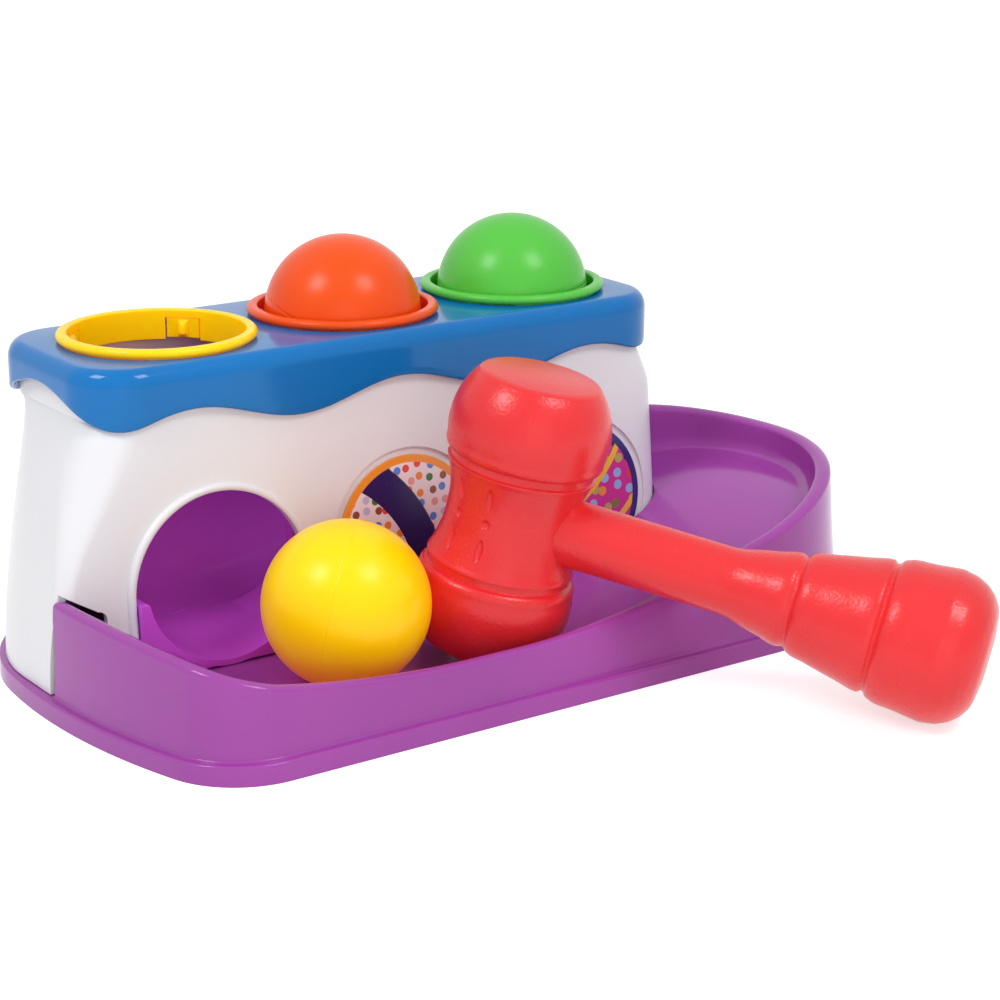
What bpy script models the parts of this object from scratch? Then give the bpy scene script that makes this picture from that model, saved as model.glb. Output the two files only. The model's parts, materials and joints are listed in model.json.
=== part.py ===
"""Ball pounding bench: a toddler's toy in moulded plastic.

Three 50 mm balls sit in flexible rings in the lid of a white housing. A blow from
the hammer opens the ring's fingers, and the ball drops onto a sloping chute that
turns it out through an arch into the purple tray. Metres, +X along the bench,
+Y away from the user, +Z up, origin on the ground below the middle ring's axis.
"""
import math

import bmesh
import bpy
import numpy as np
from mathutils import Matrix, Vector
from mathutils.geometry import delaunay_2d_cdt

mm = 0.001
deg = math.pi / 180.0

# Clearances and overruns
FIT_GAP = 0.3 * mm              # between pieces that touch
OVERRUN = 1.0 * mm              # how far a cut runs past a face
SEAT_BITE = 0.8 * mm            # how far a boss sinks into the wall that carries it
SHARP_ANGLE = 35.0 * deg        # edges bent more than this stay crisp
QUARTER = 90.0 * deg

# Balls and their rings
BALL_RADIUS = 25.0 * mm
BALL_SEGMENTS = 24
BALL_RINGS = 12
RING_GAP = 5.3 * mm             # between the lips of two rings
RING_SHARES = (-1, 0, 1)
RING_NAMES = ("left", "middle", "right")
BORE_CLEARANCE = 2.1 * mm       # ball to the ring's bore
COLLAR_WALL = 1.9 * mm
COLLAR_LIP_REACH = 3.4 * mm     # from the bore to the lip's outer edge
COLLAR_LIP_HEIGHT = 2.7 * mm
COLLAR_DEPTH = 9.6 * mm         # from the lip's top to the tube's lower end
COLLAR_STEPS = 32
LIP_STEPS = 4
SLIT_STEPS = 3

# Spring fingers, four to a ring
FINGER_COUNT = 4
FINGER_FIRST = 45.0 * deg
FINGER_HALF_WIDTH = 11.5 * deg
FINGER_WALL = 1.5 * mm
FINGER_FOOT = 0.7 * mm          # how far the finger stops short of the tube's end
NUB_HALF_WIDTH = 3.4 * deg
NUB_HEIGHT = 4.2 * mm
NUB_FOOT = 1.4 * mm             # from the finger's foot up to the nub
NUB_TURN_SHARES = (-1.0, -0.6, 0.0, 0.6, 1.0)
NUB_LEVEL_SHARES = (0.5, 0.85)
NUB_FLAT_SHARE = 0.26           # of its height, before it rounds off
NUB_GAP = 0.32 * mm             # nub to ball
BALL_SEAT_DROP = 3.3 * mm       # ball centre below the lip's top
COLLAR_BORE = BALL_RADIUS + BORE_CLEARANCE
COLLAR_TUBE = COLLAR_BORE + COLLAR_WALL
COLLAR_LIP = COLLAR_BORE + COLLAR_LIP_REACH
RING_PITCH = 2 * COLLAR_LIP + RING_GAP

# Lid
LID_HEIGHT = 98.5 * mm          # its top face above the ground
LID_PLATE = 2.5 * mm
LID_END_MARGIN = 7.7 * mm       # from a ring's lip to the lid's end
LID_HALF_LENGTH = RING_PITCH + COLLAR_LIP + LID_END_MARGIN
LID_END_BOW = 1.0 * mm
LID_SHIFT = -0.8 * mm
LID_SIDE_MARGIN = 5.1 * mm      # from a ring's lip to the lid's side
LID_HALF_DEPTH = COLLAR_LIP + LID_SIDE_MARGIN
LID_CORNER = LID_HALF_DEPTH / 2
LID_EDGE_ACROSS = 4.2 * mm
LID_EDGE_DOWN = 5.7 * mm
SKIRT_WALL = 1.5 * mm
SKIRT_ROOT = 2.1 * mm           # the skirt where it meets the plate
SKIRT_SIDE_DROP = 17.4 * mm     # lid top to the middle of the wave
SKIRT_SIDE_WAVE = 3.5 * mm
SKIRT_SIDE_PITCH = 72.5 * mm
SKIRT_END_DROP = 11.8 * mm
SKIRT_END_WAVE = 3.6 * mm
SKIRT_END_PITCH = 71.0 * mm
LID_EDGE_STEPS = 4
LID_CORNER_STEPS = 5
LID_SIDE_STEPS = 20
LID_END_STEPS = 5
LID_POST_RADIUS = 3.2 * mm
LID_POST_INSET = 13.4 * mm      # from the lid's ends and sides to the post's axis
LID_POST_LENGTH = 23.7 * mm
LID_TAB_REACH = 4.6 * mm         # from the screw's axis to the tab's free edges
LID_TAB_THICKNESS = 2.5 * mm

# Housing: a shell that flares down to the plinth
SHELL_WALL = 2.2 * mm
SHELL_SHOULDER_DROP = 16.5 * mm
SHELL_SHOULDER = LID_HEIGHT - SHELL_SHOULDER_DROP    # where the flare starts
SHELL_LEFT_STEP = 2.0 * mm      # how far the lid stands out beyond the shell, each way
SHELL_SIDE_STEP = 2.6 * mm
SHELL_RIGHT_STEP = -0.4 * mm
SHELL_TOP_LEFT = LID_HALF_LENGTH - SHELL_LEFT_STEP
SHELL_LEFT_FLARE = 20.8 * mm
SHELL_TOP_HALF_DEPTH = LID_HALF_DEPTH - SHELL_SIDE_STEP
SHELL_FRONT_FLARE = 7.0 * mm
SHELL_BACK_FLARE = 7.5 * mm
SHELL_RIGHT = LID_HALF_LENGTH - SHELL_RIGHT_STEP
SHELL_RIGHT_FLARE = 0.65 * mm
SHELL_RIGHT_TUCK = 4.1 * mm     # rounded shoulder under the lid
SHELL_TUCK_HEIGHT = 16.0 * mm
SHELL_CORNER = 15.0 * mm
SHELL_CORNER_TUCK = 9.5 * mm     # how much tighter the front left corner is at the foot
CORNER_TUCK_START = 0.1          # share of the flare where it starts to tighten
SHELL_BACK_CORNER_GROWTH = 42.0 * mm
FLARE_POWER = 0.8
SHELL_CORNER_STEPS = 5
SHELL_SIDE_STEPS = 2
SHELL_LEVEL_SHARES = (0.0, 0.2, 0.4, 0.56, 0.7, 0.8, 0.87, 1.0)

# Ball exit arch in the housing's front
CHUTE_WALL = 1.8 * mm
CHUTE_SIDE_GAP = 1.4 * mm       # chute to housing
CHUTE_RADIUS = SHELL_TOP_HALF_DEPTH - SHELL_WALL - CHUTE_WALL - CHUTE_SIDE_GAP
ARCH_STEP = 0.9 * mm
ARCH_MARGIN = 1.7 * mm
ARCH_X = -RING_PITCH - ARCH_STEP
ARCH_RADIUS = CHUTE_RADIUS + ARCH_MARGIN
ARCH_SPRING = 29.5 * mm         # height where the round part starts
ARCH_BEAD = 1.4 * mm
BEAD_OUT_SHARE = 0.7            # the bead's axis outside the opening, of its radius
BEAD_STEPS = 8
ARCH_STEPS = 16
BEAD_PATH_STEPS = 19            # the bead's path, so that its rings miss the opening's edges

# Notch in the housing's lower front left corner, over the tray's wall
NOTCH_TOP = 36.0 * mm
NOTCH_FALL = 6.5 * mm           # its top falls by this towards its inner end
NOTCH_RUN = 13.5 * mm           # over this length
NOTCH_STEP = 2.0 * mm
NOTCH_REACH = 3.2 * mm
NOTCH_PLANE = SHELL_TOP_HALF_DEPTH + NOTCH_STEP
NOTCH_EDGE = SHELL_TOP_LEFT + NOTCH_REACH
NOTCH_ROUND = 2.6 * mm
NOTCH_STEPS = 3

# Picture discs on the front
LABEL_HEIGHT = 33.6 * mm
LABEL_RADIUS = 25.5 * mm
LABEL_MARGIN = 2.5 * mm
LABEL_RECESS_RADIUS = LABEL_RADIUS + LABEL_MARGIN
LABEL_RECESS_DEPTH = 1.0 * mm
LABEL_THICKNESS = 0.5 * mm
LABEL_STEPS = 36

# Tray
TRAY_YARD = 84.0 * mm           # from the shell's top to the tray's front
TRAY_BACK_STEP = 11.0 * mm
TRAY_END_REACH = 20.9 * mm
TRAY_END_INSET = 18.0 * mm      # the round end meets the housing's side in front of its back
TRAY_FRONT_REACH = 11.8 * mm
TRAY_BACK_REACH = 37.4 * mm
TRAY_FRONT = SHELL_TOP_HALF_DEPTH + TRAY_YARD
TRAY_BACK = SHELL_TOP_HALF_DEPTH + TRAY_BACK_STEP
TRAY_END_BACK = SHELL_TOP_HALF_DEPTH - TRAY_END_INSET
TRAY_END_X = SHELL_RIGHT - TRAY_END_REACH            # centre of the round right end
TRAY_FRONT_CORNER = 27.0 * mm
TRAY_FRONT_CORNER_X = TRAY_FRONT_REACH - SHELL_TOP_LEFT
TRAY_BACK_CORNER = 60.0 * mm
TRAY_BACK_CORNER_X = TRAY_BACK_REACH - SHELL_TOP_LEFT
TRAY_BOW = 217.0 * mm
PLINTH_HEIGHT = 6.0 * mm
PLINTH_LEDGE = 3.0 * mm
PLINTH_EDGE = 0.8 * mm
PLINTH_RIGHT = SHELL_RIGHT + SHELL_RIGHT_FLARE + PLINTH_LEDGE
PLINTH_CORNER = SHELL_CORNER + PLINTH_LEDGE
TRAY_FLOOR = 5.5 * mm
FLOOR_RISE = 33.5 * mm          # the floor climbs towards the right end
FLOOR_RISE_X = 29.0 * mm        # where it starts
FLOOR_RISE_RUN = 112.0 * mm     # and how far it runs
FLOOR_STATIONS = 10
FLOOR_SKIN = 2.8 * mm           # its thickness where it is hollow underneath
TRAY_WALL = 4.0 * mm
TRAY_WALL_GAIN = 1.5 * mm       # how much thicker the wall is at the right end
TRAY_DRAFT = 0.066              # sideways per unit of height
RIM_ROUND = 1.8 * mm
FLOOR_FILLET = 4.0 * mm
# Across the rim and down from its top, then across the fillet and up from the floor
RIM_SHARES = ((0.0, 1.0), (0.16, 0.35), (0.5, 0.0), (0.84, 0.35), (1.0, 1.0))
FILLET_SHARES = ((0.0, 1.0), (0.3, 0.3), (1.0, 0.0))
RIM_LOW = 20.0 * mm
RIM_LEFT = 34.3 * mm
RIM_RIGHT = 51.5 * mm
RIM_LEFT_X = -25.0 * mm         # the rim is level from here to the next
RIM_RIGHT_X = -10.0 * mm
RIM_LEFT_REACH = 100.0 * mm
RIM_RIGHT_REACH = 183.0 * mm
RIM_LEFT_POWER = 2.1
TRAY_WALL_REACH = 6.9 * mm
TRAY_WALL_END_X = SHELL_RIGHT - TRAY_WALL_REACH      # the wall stops inside the housing's right side
TRAY_WALL_STOP = 5.0 * mm
TRAY_WALL_END_Y = TRAY_END_BACK - TRAY_WALL_STOP
TRAY_CORNER_STEPS = 8
TRAY_FRONT_STEPS = 18
TRAY_END_STEPS = 20
TRAY_BACK_STEPS = 3
POCKET_CORNER_STEPS = 4
POCKET_FRONT_STEPS = 1
POCKET_END_STEPS = 7
POCKET_DEPTH = 3.0 * mm
POCKET_MARGIN = 9.0 * mm
POCKET_STEP = 0.5 * mm          # the deep hollows under the raised floor are this much narrower
HOLLOW_START = 49.0 * mm
POCKET_RIB = 6.0 * mm
POCKET_COLUMNS = 4
POCKET_ROWS = 2
FOOT_RADIUS = 9.0 * mm

# Chute under the rings
CHUTE_TOP_DROP = 32.5 * mm
CHUTE_TOP = LID_HEIGHT - CHUTE_TOP_DROP
CHUTE_END_STEP = 0.2 * mm
CHUTE_END_X = RING_PITCH + CHUTE_END_STEP            # centres of its two round ends
CHUTE_HEADROOM = 77.435 * mm    # what the lid's height leaves for the chute's fall
CHUTE_SLOPE = math.atan((LID_HEIGHT - CHUTE_HEADROOM) / (2 * CHUTE_END_X))
CHUTE_MOUTH_Y = -42.0 * mm
CHUTE_MOUTH_SLOPE = 1.5 * deg
CHUTE_CHEEK_Y = -32.2 * mm      # its walls above the lip stop inside the housing
CHUTE_CHEEK_Z = 14.0 * mm
CHUTE_LIP_TOP = ARCH_SPRING     # of the block that fills the arch's lower corners
CHUTE_END_STEPS = 6
CHUTE_LAST_TURN = 87.0 * deg    # where the round ends stop short of closing to a line
CHUTE_ARC_STEPS = 12
MOUTH_STEP = 0.15 * mm          # the mouth's channel is this much narrower than the bowl
CHUTE_LEG_NEAR = 2.0 * mm       # left of the middle ring
CHUTE_LEG_FAR = 8.3 * mm        # left of the right ring
CHUTE_LEG_X = (-CHUTE_LEG_NEAR, RING_PITCH - CHUTE_LEG_FAR)
CHUTE_LEG_THICKNESS = 2.4 * mm
CHUTE_LEG_HALF_WIDTH = 18.0 * mm
CHUTE_BOSS_RADIUS = 4.5 * mm

# Screws
SCREW_SHANK = 1.3 * mm
SCREW_PILOT = 1.6 * mm
SCREW_HOLE = 1.9 * mm
SCREW_HEAD = 3.3 * mm
SCREW_HEAD_HEIGHT = 2.0 * mm
SCREW_LENGTH = 11.0 * mm
SCREW_RECESS = 4.2 * mm
SCREW_RECESS_DEPTH = 2.8 * mm
SCREW_SLOT = 0.9 * mm
SCREW_SLOT_DEPTH = 1.1 * mm
SCREW_SLOT_LENGTH = 3.8 * mm
SCREW_STEPS = 12
BOSS_RADIUS = 4.6 * mm
BOSS_HEIGHT = 15.0 * mm
PAD_RADIUS = 7.0 * mm
FRONT_SCREW_STEP = 0.1 * mm     # left of the shell's left end at the top
BACK_SCREW_REACH = 14.5 * mm    # right of it
RIGHT_SCREW_REACH = 18.9 * mm   # left of the shell's right end

# Hammer, as it lies with its grip on the ground
HEAD_HALF_LENGTH = 43.3 * mm
HEAD_RADIUS = 24.3 * mm
HANDLE_LENGTH = 146.5 * mm
HANDLE_BELOW = 0.9 * mm         # its axis crosses the head this far below the middle
GRIP_RADIUS = 23.2 * mm
GRIP_REST_SHARE = 0.897         # where along the handle the grip touches the ground
HAMMER_X = 5.5 * mm
HAMMER_AWAY = 51.78 * mm        # head's axis in front of the shell's top
HAMMER_LIFT = 8.45 * mm          # head's middle above its half length
HAMMER_Y = -SHELL_TOP_HALF_DEPTH - HAMMER_AWAY
HAMMER_Z = HEAD_HALF_LENGTH + HAMMER_LIFT
HAMMER_DROP = (HAMMER_Z - HANDLE_BELOW - GRIP_RADIUS) / (HANDLE_LENGTH * GRIP_REST_SHARE)
HAMMER_HANDLE_DIRECTION = (0.605, -0.761, -HAMMER_DROP)
HAMMER_HEAD_DIRECTION = (0.154, -0.164, 0.974)

# Loose ball in the tray, beside the hammer's head
LOOSE_BALL_SIDE_GAP = 3.54 * mm
LOOSE_BALL_FRONT_GAP = 11.2 * mm
LOOSE_BALL_X = HAMMER_X - HEAD_RADIUS - BALL_RADIUS - LOOSE_BALL_SIDE_GAP
LOOSE_BALL_Y = -SHELL_TOP_HALF_DEPTH - SHELL_FRONT_FLARE - BALL_RADIUS - LOOSE_BALL_FRONT_GAP
HEAD_STEPS = 24
HANDLE_STEPS = 20
# Along half the head from its middle, and out from its axis
HEAD_PROFILE_SHARES = (
    (0.0, 0.798), (0.115, 0.807), (0.231, 0.848), (0.312, 0.893), (0.353, 0.922), (0.362, 0.892),
    (0.410, 0.892), (0.423, 0.941), (0.508, 0.983), (0.612, 1.0), (0.716, 0.983), (0.808, 0.937),
    (0.900, 0.858), (0.965, 0.775), (0.992, 0.720), (1.0, 0.668))
# Along the handle from the head's axis, and out from the handle's axis
HANDLE_PROFILE_SHARES = (
    (0.06, 0.455), (0.12, 0.448), (0.19, 0.443), (0.40, 0.440), (0.444, 0.438), (0.478, 0.452),
    (0.517, 0.514), (0.553, 0.563), (0.588, 0.616), (0.596, 0.612), (0.605, 0.590), (0.616, 0.655),
    (0.655, 0.716), (0.689, 0.765), (0.724, 0.811), (0.770, 0.872), (0.780, 0.835), (0.792, 0.905),
    (0.855, 0.965), (0.888, 0.990), (0.904, 1.0), (0.918, 0.985), (0.934, 0.966), (0.949, 0.925),
    (0.963, 0.872), (0.985, 0.715), (0.994, 0.573), (1.0, 0.30))

# Colours: linear red, green, blue, then roughness
FINISHES = {
    "purple_plastic": ((0.38, 0.085, 0.36), 0.30),
    "white_plastic": ((0.80, 0.80, 0.82), 0.32),
    "blue_plastic": ((0.0, 0.17, 0.52), 0.25),
    "yellow_plastic": ((0.95, 0.68, 0.0), 0.30),
    "orange_plastic": ((0.87, 0.13, 0.02), 0.30),
    "green_plastic": ((0.10, 0.49, 0.07), 0.30),
    "red_plastic": ((0.87, 0.05, 0.055), 0.42),
    "printed_label": ((0.75, 0.60, 0.62), 0.45),
    "zinc_steel": ((0.55, 0.55, 0.56), 0.35),
}


# Tools for making meshes

def material(name):
    """The finish of that name as a Principled material."""
    made = bpy.data.materials.get(name)
    if made is None:
        made = bpy.data.materials.new(name)
        made.use_nodes = True
        colour, roughness = FINISHES[name]
        shader = made.node_tree.nodes["Principled BSDF"]
        shader.inputs["Base Color"].default_value = (*colour, 1.0)
        shader.inputs["Roughness"].default_value = roughness
        shader.inputs["Metallic"].default_value = 1.0 if name == "zinc_steel" else 0.0
        made.diffuse_color = (*colour, 1.0)
    return made


def add_object(name, points, faces, finish=None):
    """An object from points and faces, with its faces turned outwards."""
    mesh = bpy.data.meshes.new(name)
    mesh.from_pydata([tuple(map(float, point)) for point in points], [], faces)
    shape = bmesh.new()
    shape.from_mesh(mesh)
    bmesh.ops.recalc_face_normals(shape, faces=shape.faces)
    shape.to_mesh(mesh)
    shape.free()
    if finish:
        mesh.materials.append(material(finish))
    mesh.shade_smooth()
    mesh.set_sharp_from_angle(angle=SHARP_ANGLE)
    made = bpy.data.objects.new(name, mesh)
    bpy.context.scene.collection.objects.link(made)
    return made


def skin_faces(rings, ends=True):
    """Points and faces of a skin through rings of equal count, capped or closed on itself."""
    count = len(rings[0])
    points = [point for ring in rings for point in ring]
    faces = []
    spans = len(rings) - 1 if ends else len(rings)
    for level in range(spans):
        low = level * count
        high = (level + 1) % len(rings) * count
        for step in range(count):
            ahead = (step + 1) % count
            faces.append((low + step, low + ahead, high + ahead, high + step))
    if ends:
        faces.append(tuple(range(count))[::-1])
        faces.append(tuple(range(len(points) - count, len(points))))
    return points, faces


def loft(name, rings, finish=None, ends=True):
    """A skin through rings of equal count. With ends it is capped, without it closes on itself."""
    points, faces = skin_faces(rings, ends)
    return add_object(name, points, faces, finish)


def across(outline, x):
    """The lowest and highest Y of an outline at an X."""
    found = []
    for here, ahead in zip(outline, outline[1:] + outline[:1]):
        if min(here[0], ahead[0]) <= x < max(here[0], ahead[0]):
            found.append(here[1] + (ahead[1] - here[1]) * (x - here[0]) / (ahead[0] - here[0]))
    return min(found), max(found)


def draped_loft(name, rings, level, finish=None):
    """A capped skin whose last cap follows a level that changes along X, in strips across."""
    points, faces = skin_faces(rings)
    faces.pop()
    first = len(points) - len(rings[0])
    outline = [(p[0], p[1]) for p in rings[-1]]
    corners = [Vector(p) for p in outline]
    lines = []
    left = min(p[0] for p in outline)
    right = max(p[0] for p in outline)
    for station in range(FLOOR_STATIONS + 1):
        x = FLOOR_RISE_X + FLOOR_RISE_RUN * station / FLOOR_STATIONS
        if left + OVERRUN < x < right - OVERRUN:
            low, high = across(outline, x)
            lines.append((len(corners), len(corners) + 1))
            corners += [Vector((x, low + OVERRUN)), Vector((x, high - OVERRUN))]
    found = delaunay_2d_cdt(corners, lines, [list(range(len(outline)))], 1, OVERRUN / 1000)
    places = []
    for corner, origins in zip(found[0], found[3]):
        known = [origin for origin in origins if origin < len(outline)]
        places.append(first + known[0] if known else len(points))
        if not known:
            points.append((corner.x, corner.y, level(corner.x)))
    faces += [tuple(places[index] for index in face) for face in found[2]]
    return add_object(name, points, faces, finish)


def turned(name, profile, steps, finish=None, ring=False):
    """A profile of (radius, height) turned about Z. A ring's profile closes on itself."""
    rings = []
    for radius, height in profile:
        angles = np.arange(steps) * (2 * math.pi / steps)
        rings.append([(radius * math.cos(a), radius * math.sin(a), height) for a in angles])
    return loft(name, rings, finish, ends=not ring)


def prism(name, outline, low, high, place=None, finish=None):
    """An outline of (u, v) drawn out from low to high. place turns (u, v, w) into a point."""
    place = place or (lambda u, v, w: (u, v, w))
    rings = [[place(u, v, w) for u, v in outline] for w in (low, high)]
    return loft(name, rings, finish)


def along_y(u, v, w):
    """Puts an outline in X and Z, drawn out along Y."""
    return (u, w, v)


def along_x(u, v, w):
    """Puts an outline in Y and Z, drawn out along X."""
    return (w, u, v)


def cylinder(name, x, y, low, high, radius, steps=SCREW_STEPS):
    """An upright cylinder."""
    made = turned(name, ((radius, low), (radius, high)), steps)
    made.data.transform(Matrix.Translation((x, y, 0.0)))
    return made


def combine(target, tool, operation):
    """Cuts the tool from the target, or joins it on, and hides the tool."""
    step = target.modifiers.new(tool.name, "BOOLEAN")
    step.operation = operation
    step.solver = "EXACT"
    step.object = tool
    tool.hide_render = True
    tool.display_type = "WIRE"


def cut(target, tool):
    """Takes the tool away from the target."""
    combine(target, tool, "DIFFERENCE")


def join(target, tool):
    """Joins the tool to the target."""
    combine(target, tool, "UNION")


def arc(centre, radius, start, end, steps):
    """Points on an arc, both ends included, with the outward direction at each."""
    found = []
    for angle in np.linspace(start, end, steps + 1):
        normal = (math.cos(angle), math.sin(angle))
        found.append(((centre[0] + radius * normal[0], centre[1] + radius * normal[1]), normal))
    return found


def straight(start, end, steps):
    """Points between two ends, the ends left out, with the direction to their right."""
    run = Vector((end[0] - start[0], end[1] - start[1]))
    normal = Vector((run.y, -run.x)).normalized()
    shares = np.arange(1, steps) / steps
    return [((start[0] + run.x * s, start[1] + run.y * s), tuple(normal)) for s in shares]


def inset(outline, depth):
    """The outline's points moved inwards."""
    return [(p[0] - n[0] * depth, p[1] - n[1] * depth) for p, n in outline]


def smooth_step(share):
    """Eases from 0 to 1."""
    share = min(max(share, 0.0), 1.0)
    return share * share * (3 - 2 * share)


def rounded_box(left, right, front, back, corners, arc_steps, long_steps, end_steps):
    """A rounded rectangle, with its corners' radii from front left, anticlockwise."""
    front_left, front_right, back_right, back_left = corners
    centres = ((left + front_left, front + front_left), (right - front_right, front + front_right),
               (right - back_right, back - back_right), (left + back_left, back - back_left))
    outline = []
    for index, centre in enumerate(centres):
        start = (2 + index) * QUARTER
        here = arc(centre, corners[index], start, start + QUARTER, arc_steps)
        after = (index + 1) % len(centres)
        ahead = arc(centres[after], corners[after], start + QUARTER, start + 2 * QUARTER, arc_steps)
        steps = end_steps if index % 2 else long_steps
        outline += here + straight(here[-1][0], ahead[0][0], steps)
    return outline


# Places that several pieces share

COLLAR_SEAT = LID_HEIGHT + FIT_GAP
COLLAR_TOP = COLLAR_SEAT + COLLAR_LIP_HEIGHT
COLLAR_FOOT = COLLAR_TOP - COLLAR_DEPTH
SEATED_BALL_Z = COLLAR_TOP - BALL_SEAT_DROP
FINGER_HINGE_Z = COLLAR_SEAT - FIT_GAP
SHELL_FOOT = PLINTH_HEIGHT + FIT_GAP
SHELL_TOP = LID_HEIGHT - LID_PLATE - FIT_GAP
TRAY_END_RADIUS = (TRAY_FRONT + TRAY_END_BACK) / 2
TRAY_MIDDLE_Y = (TRAY_END_BACK - TRAY_FRONT) / 2
HOUSING_ROOM = FIT_GAP * 2      # round the housing's foot in the tray
HOLLOW_BACK = -(SHELL_TOP_HALF_DEPTH + SHELL_FRONT_FLARE + HOUSING_ROOM + TRAY_WALL)
HOLLOW_LEFT = SHELL_RIGHT + SHELL_RIGHT_FLARE + HOUSING_ROOM + TRAY_WALL
POST_FOOT = LID_HEIGHT - LID_PLATE - LID_POST_LENGTH
TAB_TOP = POST_FOOT - FIT_GAP


def shell_flare(height):
    """Shares of the flare at a height: 0 at the shoulder, 1 at the foot."""
    return min(max((SHELL_SHOULDER - height) / (SHELL_SHOULDER - PLINTH_HEIGHT), 0.0), 1.0)


def shell_front(height):
    """Y of the housing's front face."""
    return -(SHELL_TOP_HALF_DEPTH + SHELL_FRONT_FLARE * shell_flare(height) ** FLARE_POWER)


def shell_outline(height, grown=0.0):
    """The housing's outline at a height, grown outwards or shrunk."""
    share = shell_flare(height)
    turn = math.sin(share * math.pi / 2)
    left = -(SHELL_TOP_LEFT + SHELL_LEFT_FLARE * turn ** FLARE_POWER)
    back = SHELL_TOP_HALF_DEPTH + SHELL_BACK_FLARE * share ** FLARE_POWER
    tuck = smooth_step((height - SHELL_SHOULDER + SHELL_TUCK_HEIGHT) / SHELL_TUCK_HEIGHT)
    right = SHELL_RIGHT + SHELL_RIGHT_FLARE * share - SHELL_RIGHT_TUCK * tuck
    back_left = SHELL_CORNER + SHELL_BACK_CORNER_GROWTH * math.sqrt(turn)
    front_left = SHELL_CORNER - SHELL_CORNER_TUCK * smooth_step((share - CORNER_TUCK_START) * 2)
    corners = [front_left, SHELL_CORNER, SHELL_CORNER, back_left]
    return rounded_box(left - grown, right + grown, shell_front(height) - grown, back + grown,
                       [corner + grown for corner in corners],
                       SHELL_CORNER_STEPS, SHELL_SIDE_STEPS, SHELL_SIDE_STEPS)


def shell_rings(grown, low, high):
    """Rings of the housing's outline between two heights."""
    heights = [low + (high - low) * share for share in SHELL_LEVEL_SHARES]
    return [[(p[0], p[1], z) for p, _ in shell_outline(z, grown)] for z in heights]


def wall_boss(x_side, y_side):
    """A base screw's place: its boss bites into the housing's wall at the foot."""
    depth = BOSS_RADIUS + SHELL_WALL - SEAT_BITE
    x = BASE_SCREW_X[x_side, y_side]
    if y_side < 0:
        return x, shell_front(SHELL_FOOT + BOSS_HEIGHT) + depth
    return x, back_wall_y(x) - depth


def back_wall_y(x):
    """Y of the housing's back face at an X, at the bosses' top."""
    height = SHELL_FOOT + BOSS_HEIGHT
    points = [p for p, n in shell_outline(height) if n[1] > 0]
    points.sort()
    return float(np.interp(x, [p[0] for p in points], [p[1] for p in points]))


BASE_SCREW_X = {(-1, -1): -SHELL_TOP_LEFT - FRONT_SCREW_STEP, (1, -1): SHELL_RIGHT - RIGHT_SCREW_REACH,
                (-1, 1): BACK_SCREW_REACH - SHELL_TOP_LEFT, (1, 1): SHELL_RIGHT - RIGHT_SCREW_REACH}
BASE_SCREWS = [wall_boss(x, y) for x, y in BASE_SCREW_X]
LID_POSTS = [(LID_SHIFT + x * (LID_HALF_LENGTH - LID_POST_INSET), y * (LID_HALF_DEPTH - LID_POST_INSET))
             for x in (-1, 1) for y in (-1, 1)]
CHUTE_SCREWS = [(x, 0.0) for x in CHUTE_LEG_X]


# Tray

def tray_outline(corner_steps=TRAY_CORNER_STEPS, front_steps=TRAY_FRONT_STEPS, end_steps=TRAY_END_STEPS):
    """The plinth's outline: a straight front, a round right end, a straight back,
    and a bowed left end whose centre follows from its two corners."""
    front_corner = Vector((TRAY_FRONT_CORNER_X, TRAY_FRONT_CORNER - TRAY_FRONT))
    back_corner = Vector((TRAY_BACK_CORNER_X, TRAY_BACK - TRAY_BACK_CORNER))
    reach_front = TRAY_BOW - TRAY_FRONT_CORNER
    reach_back = TRAY_BOW - TRAY_BACK_CORNER
    between = back_corner - front_corner
    along = (reach_front ** 2 - reach_back ** 2 + between.length_squared) / (2 * between.length)
    aside = math.sqrt(reach_front ** 2 - along ** 2)
    unit = between.normalized()
    bow_centre = front_corner + unit * along + Vector((unit.y, -unit.x)) * aside
    to_front = (front_corner - bow_centre)
    to_back = (back_corner - bow_centre)
    front_turn = math.atan2(to_front.y, to_front.x) % (2 * math.pi)
    back_turn = math.atan2(to_back.y, to_back.x) % (2 * math.pi)
    front = arc(front_corner, TRAY_FRONT_CORNER, front_turn, 3 * QUARTER, corner_steps)
    end_turn = math.acos((PLINTH_RIGHT - TRAY_END_X) / TRAY_END_RADIUS)
    end = arc((TRAY_END_X, TRAY_MIDDLE_Y), TRAY_END_RADIUS, -QUARTER, end_turn, end_steps)
    plinth_corner = (PLINTH_RIGHT - PLINTH_CORNER, TRAY_BACK - PLINTH_CORNER)
    plinth = arc(plinth_corner, PLINTH_CORNER, 0.0, QUARTER, TRAY_BACK_STEPS)
    back = arc(back_corner, TRAY_BACK_CORNER, QUARTER, back_turn, corner_steps)
    bow = arc(bow_centre, TRAY_BOW, back_turn, front_turn, corner_steps)
    return (front + straight(front[-1][0], end[0][0], front_steps) + end
            + straight(end[-1][0], plinth[0][0], 2) + plinth
            + straight(plinth[-1][0], back[0][0], TRAY_BACK_STEPS) + back + bow[1:-1])


def rim_height(x, y):
    """Height of the tray's rim: low in front, higher at both ends."""
    if x < RIM_LEFT_X:
        share = (RIM_LEFT_X - x) / RIM_LEFT_REACH
        return RIM_LOW + (RIM_LEFT - RIM_LOW) * min(share, 1.0) ** RIM_LEFT_POWER
    along = x if y < TRAY_MIDDLE_Y else 2 * (TRAY_END_X + TRAY_END_RADIUS) - x
    return RIM_LOW + (RIM_RIGHT - RIM_LOW) * smooth_step((along - RIM_RIGHT_X) / RIM_RIGHT_REACH)


def floor_height(x):
    """Height of the tray's floor, which climbs towards the right end."""
    return TRAY_FLOOR + FLOOR_RISE * smooth_step((x - FLOOR_RISE_X) / FLOOR_RISE_RUN)


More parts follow.
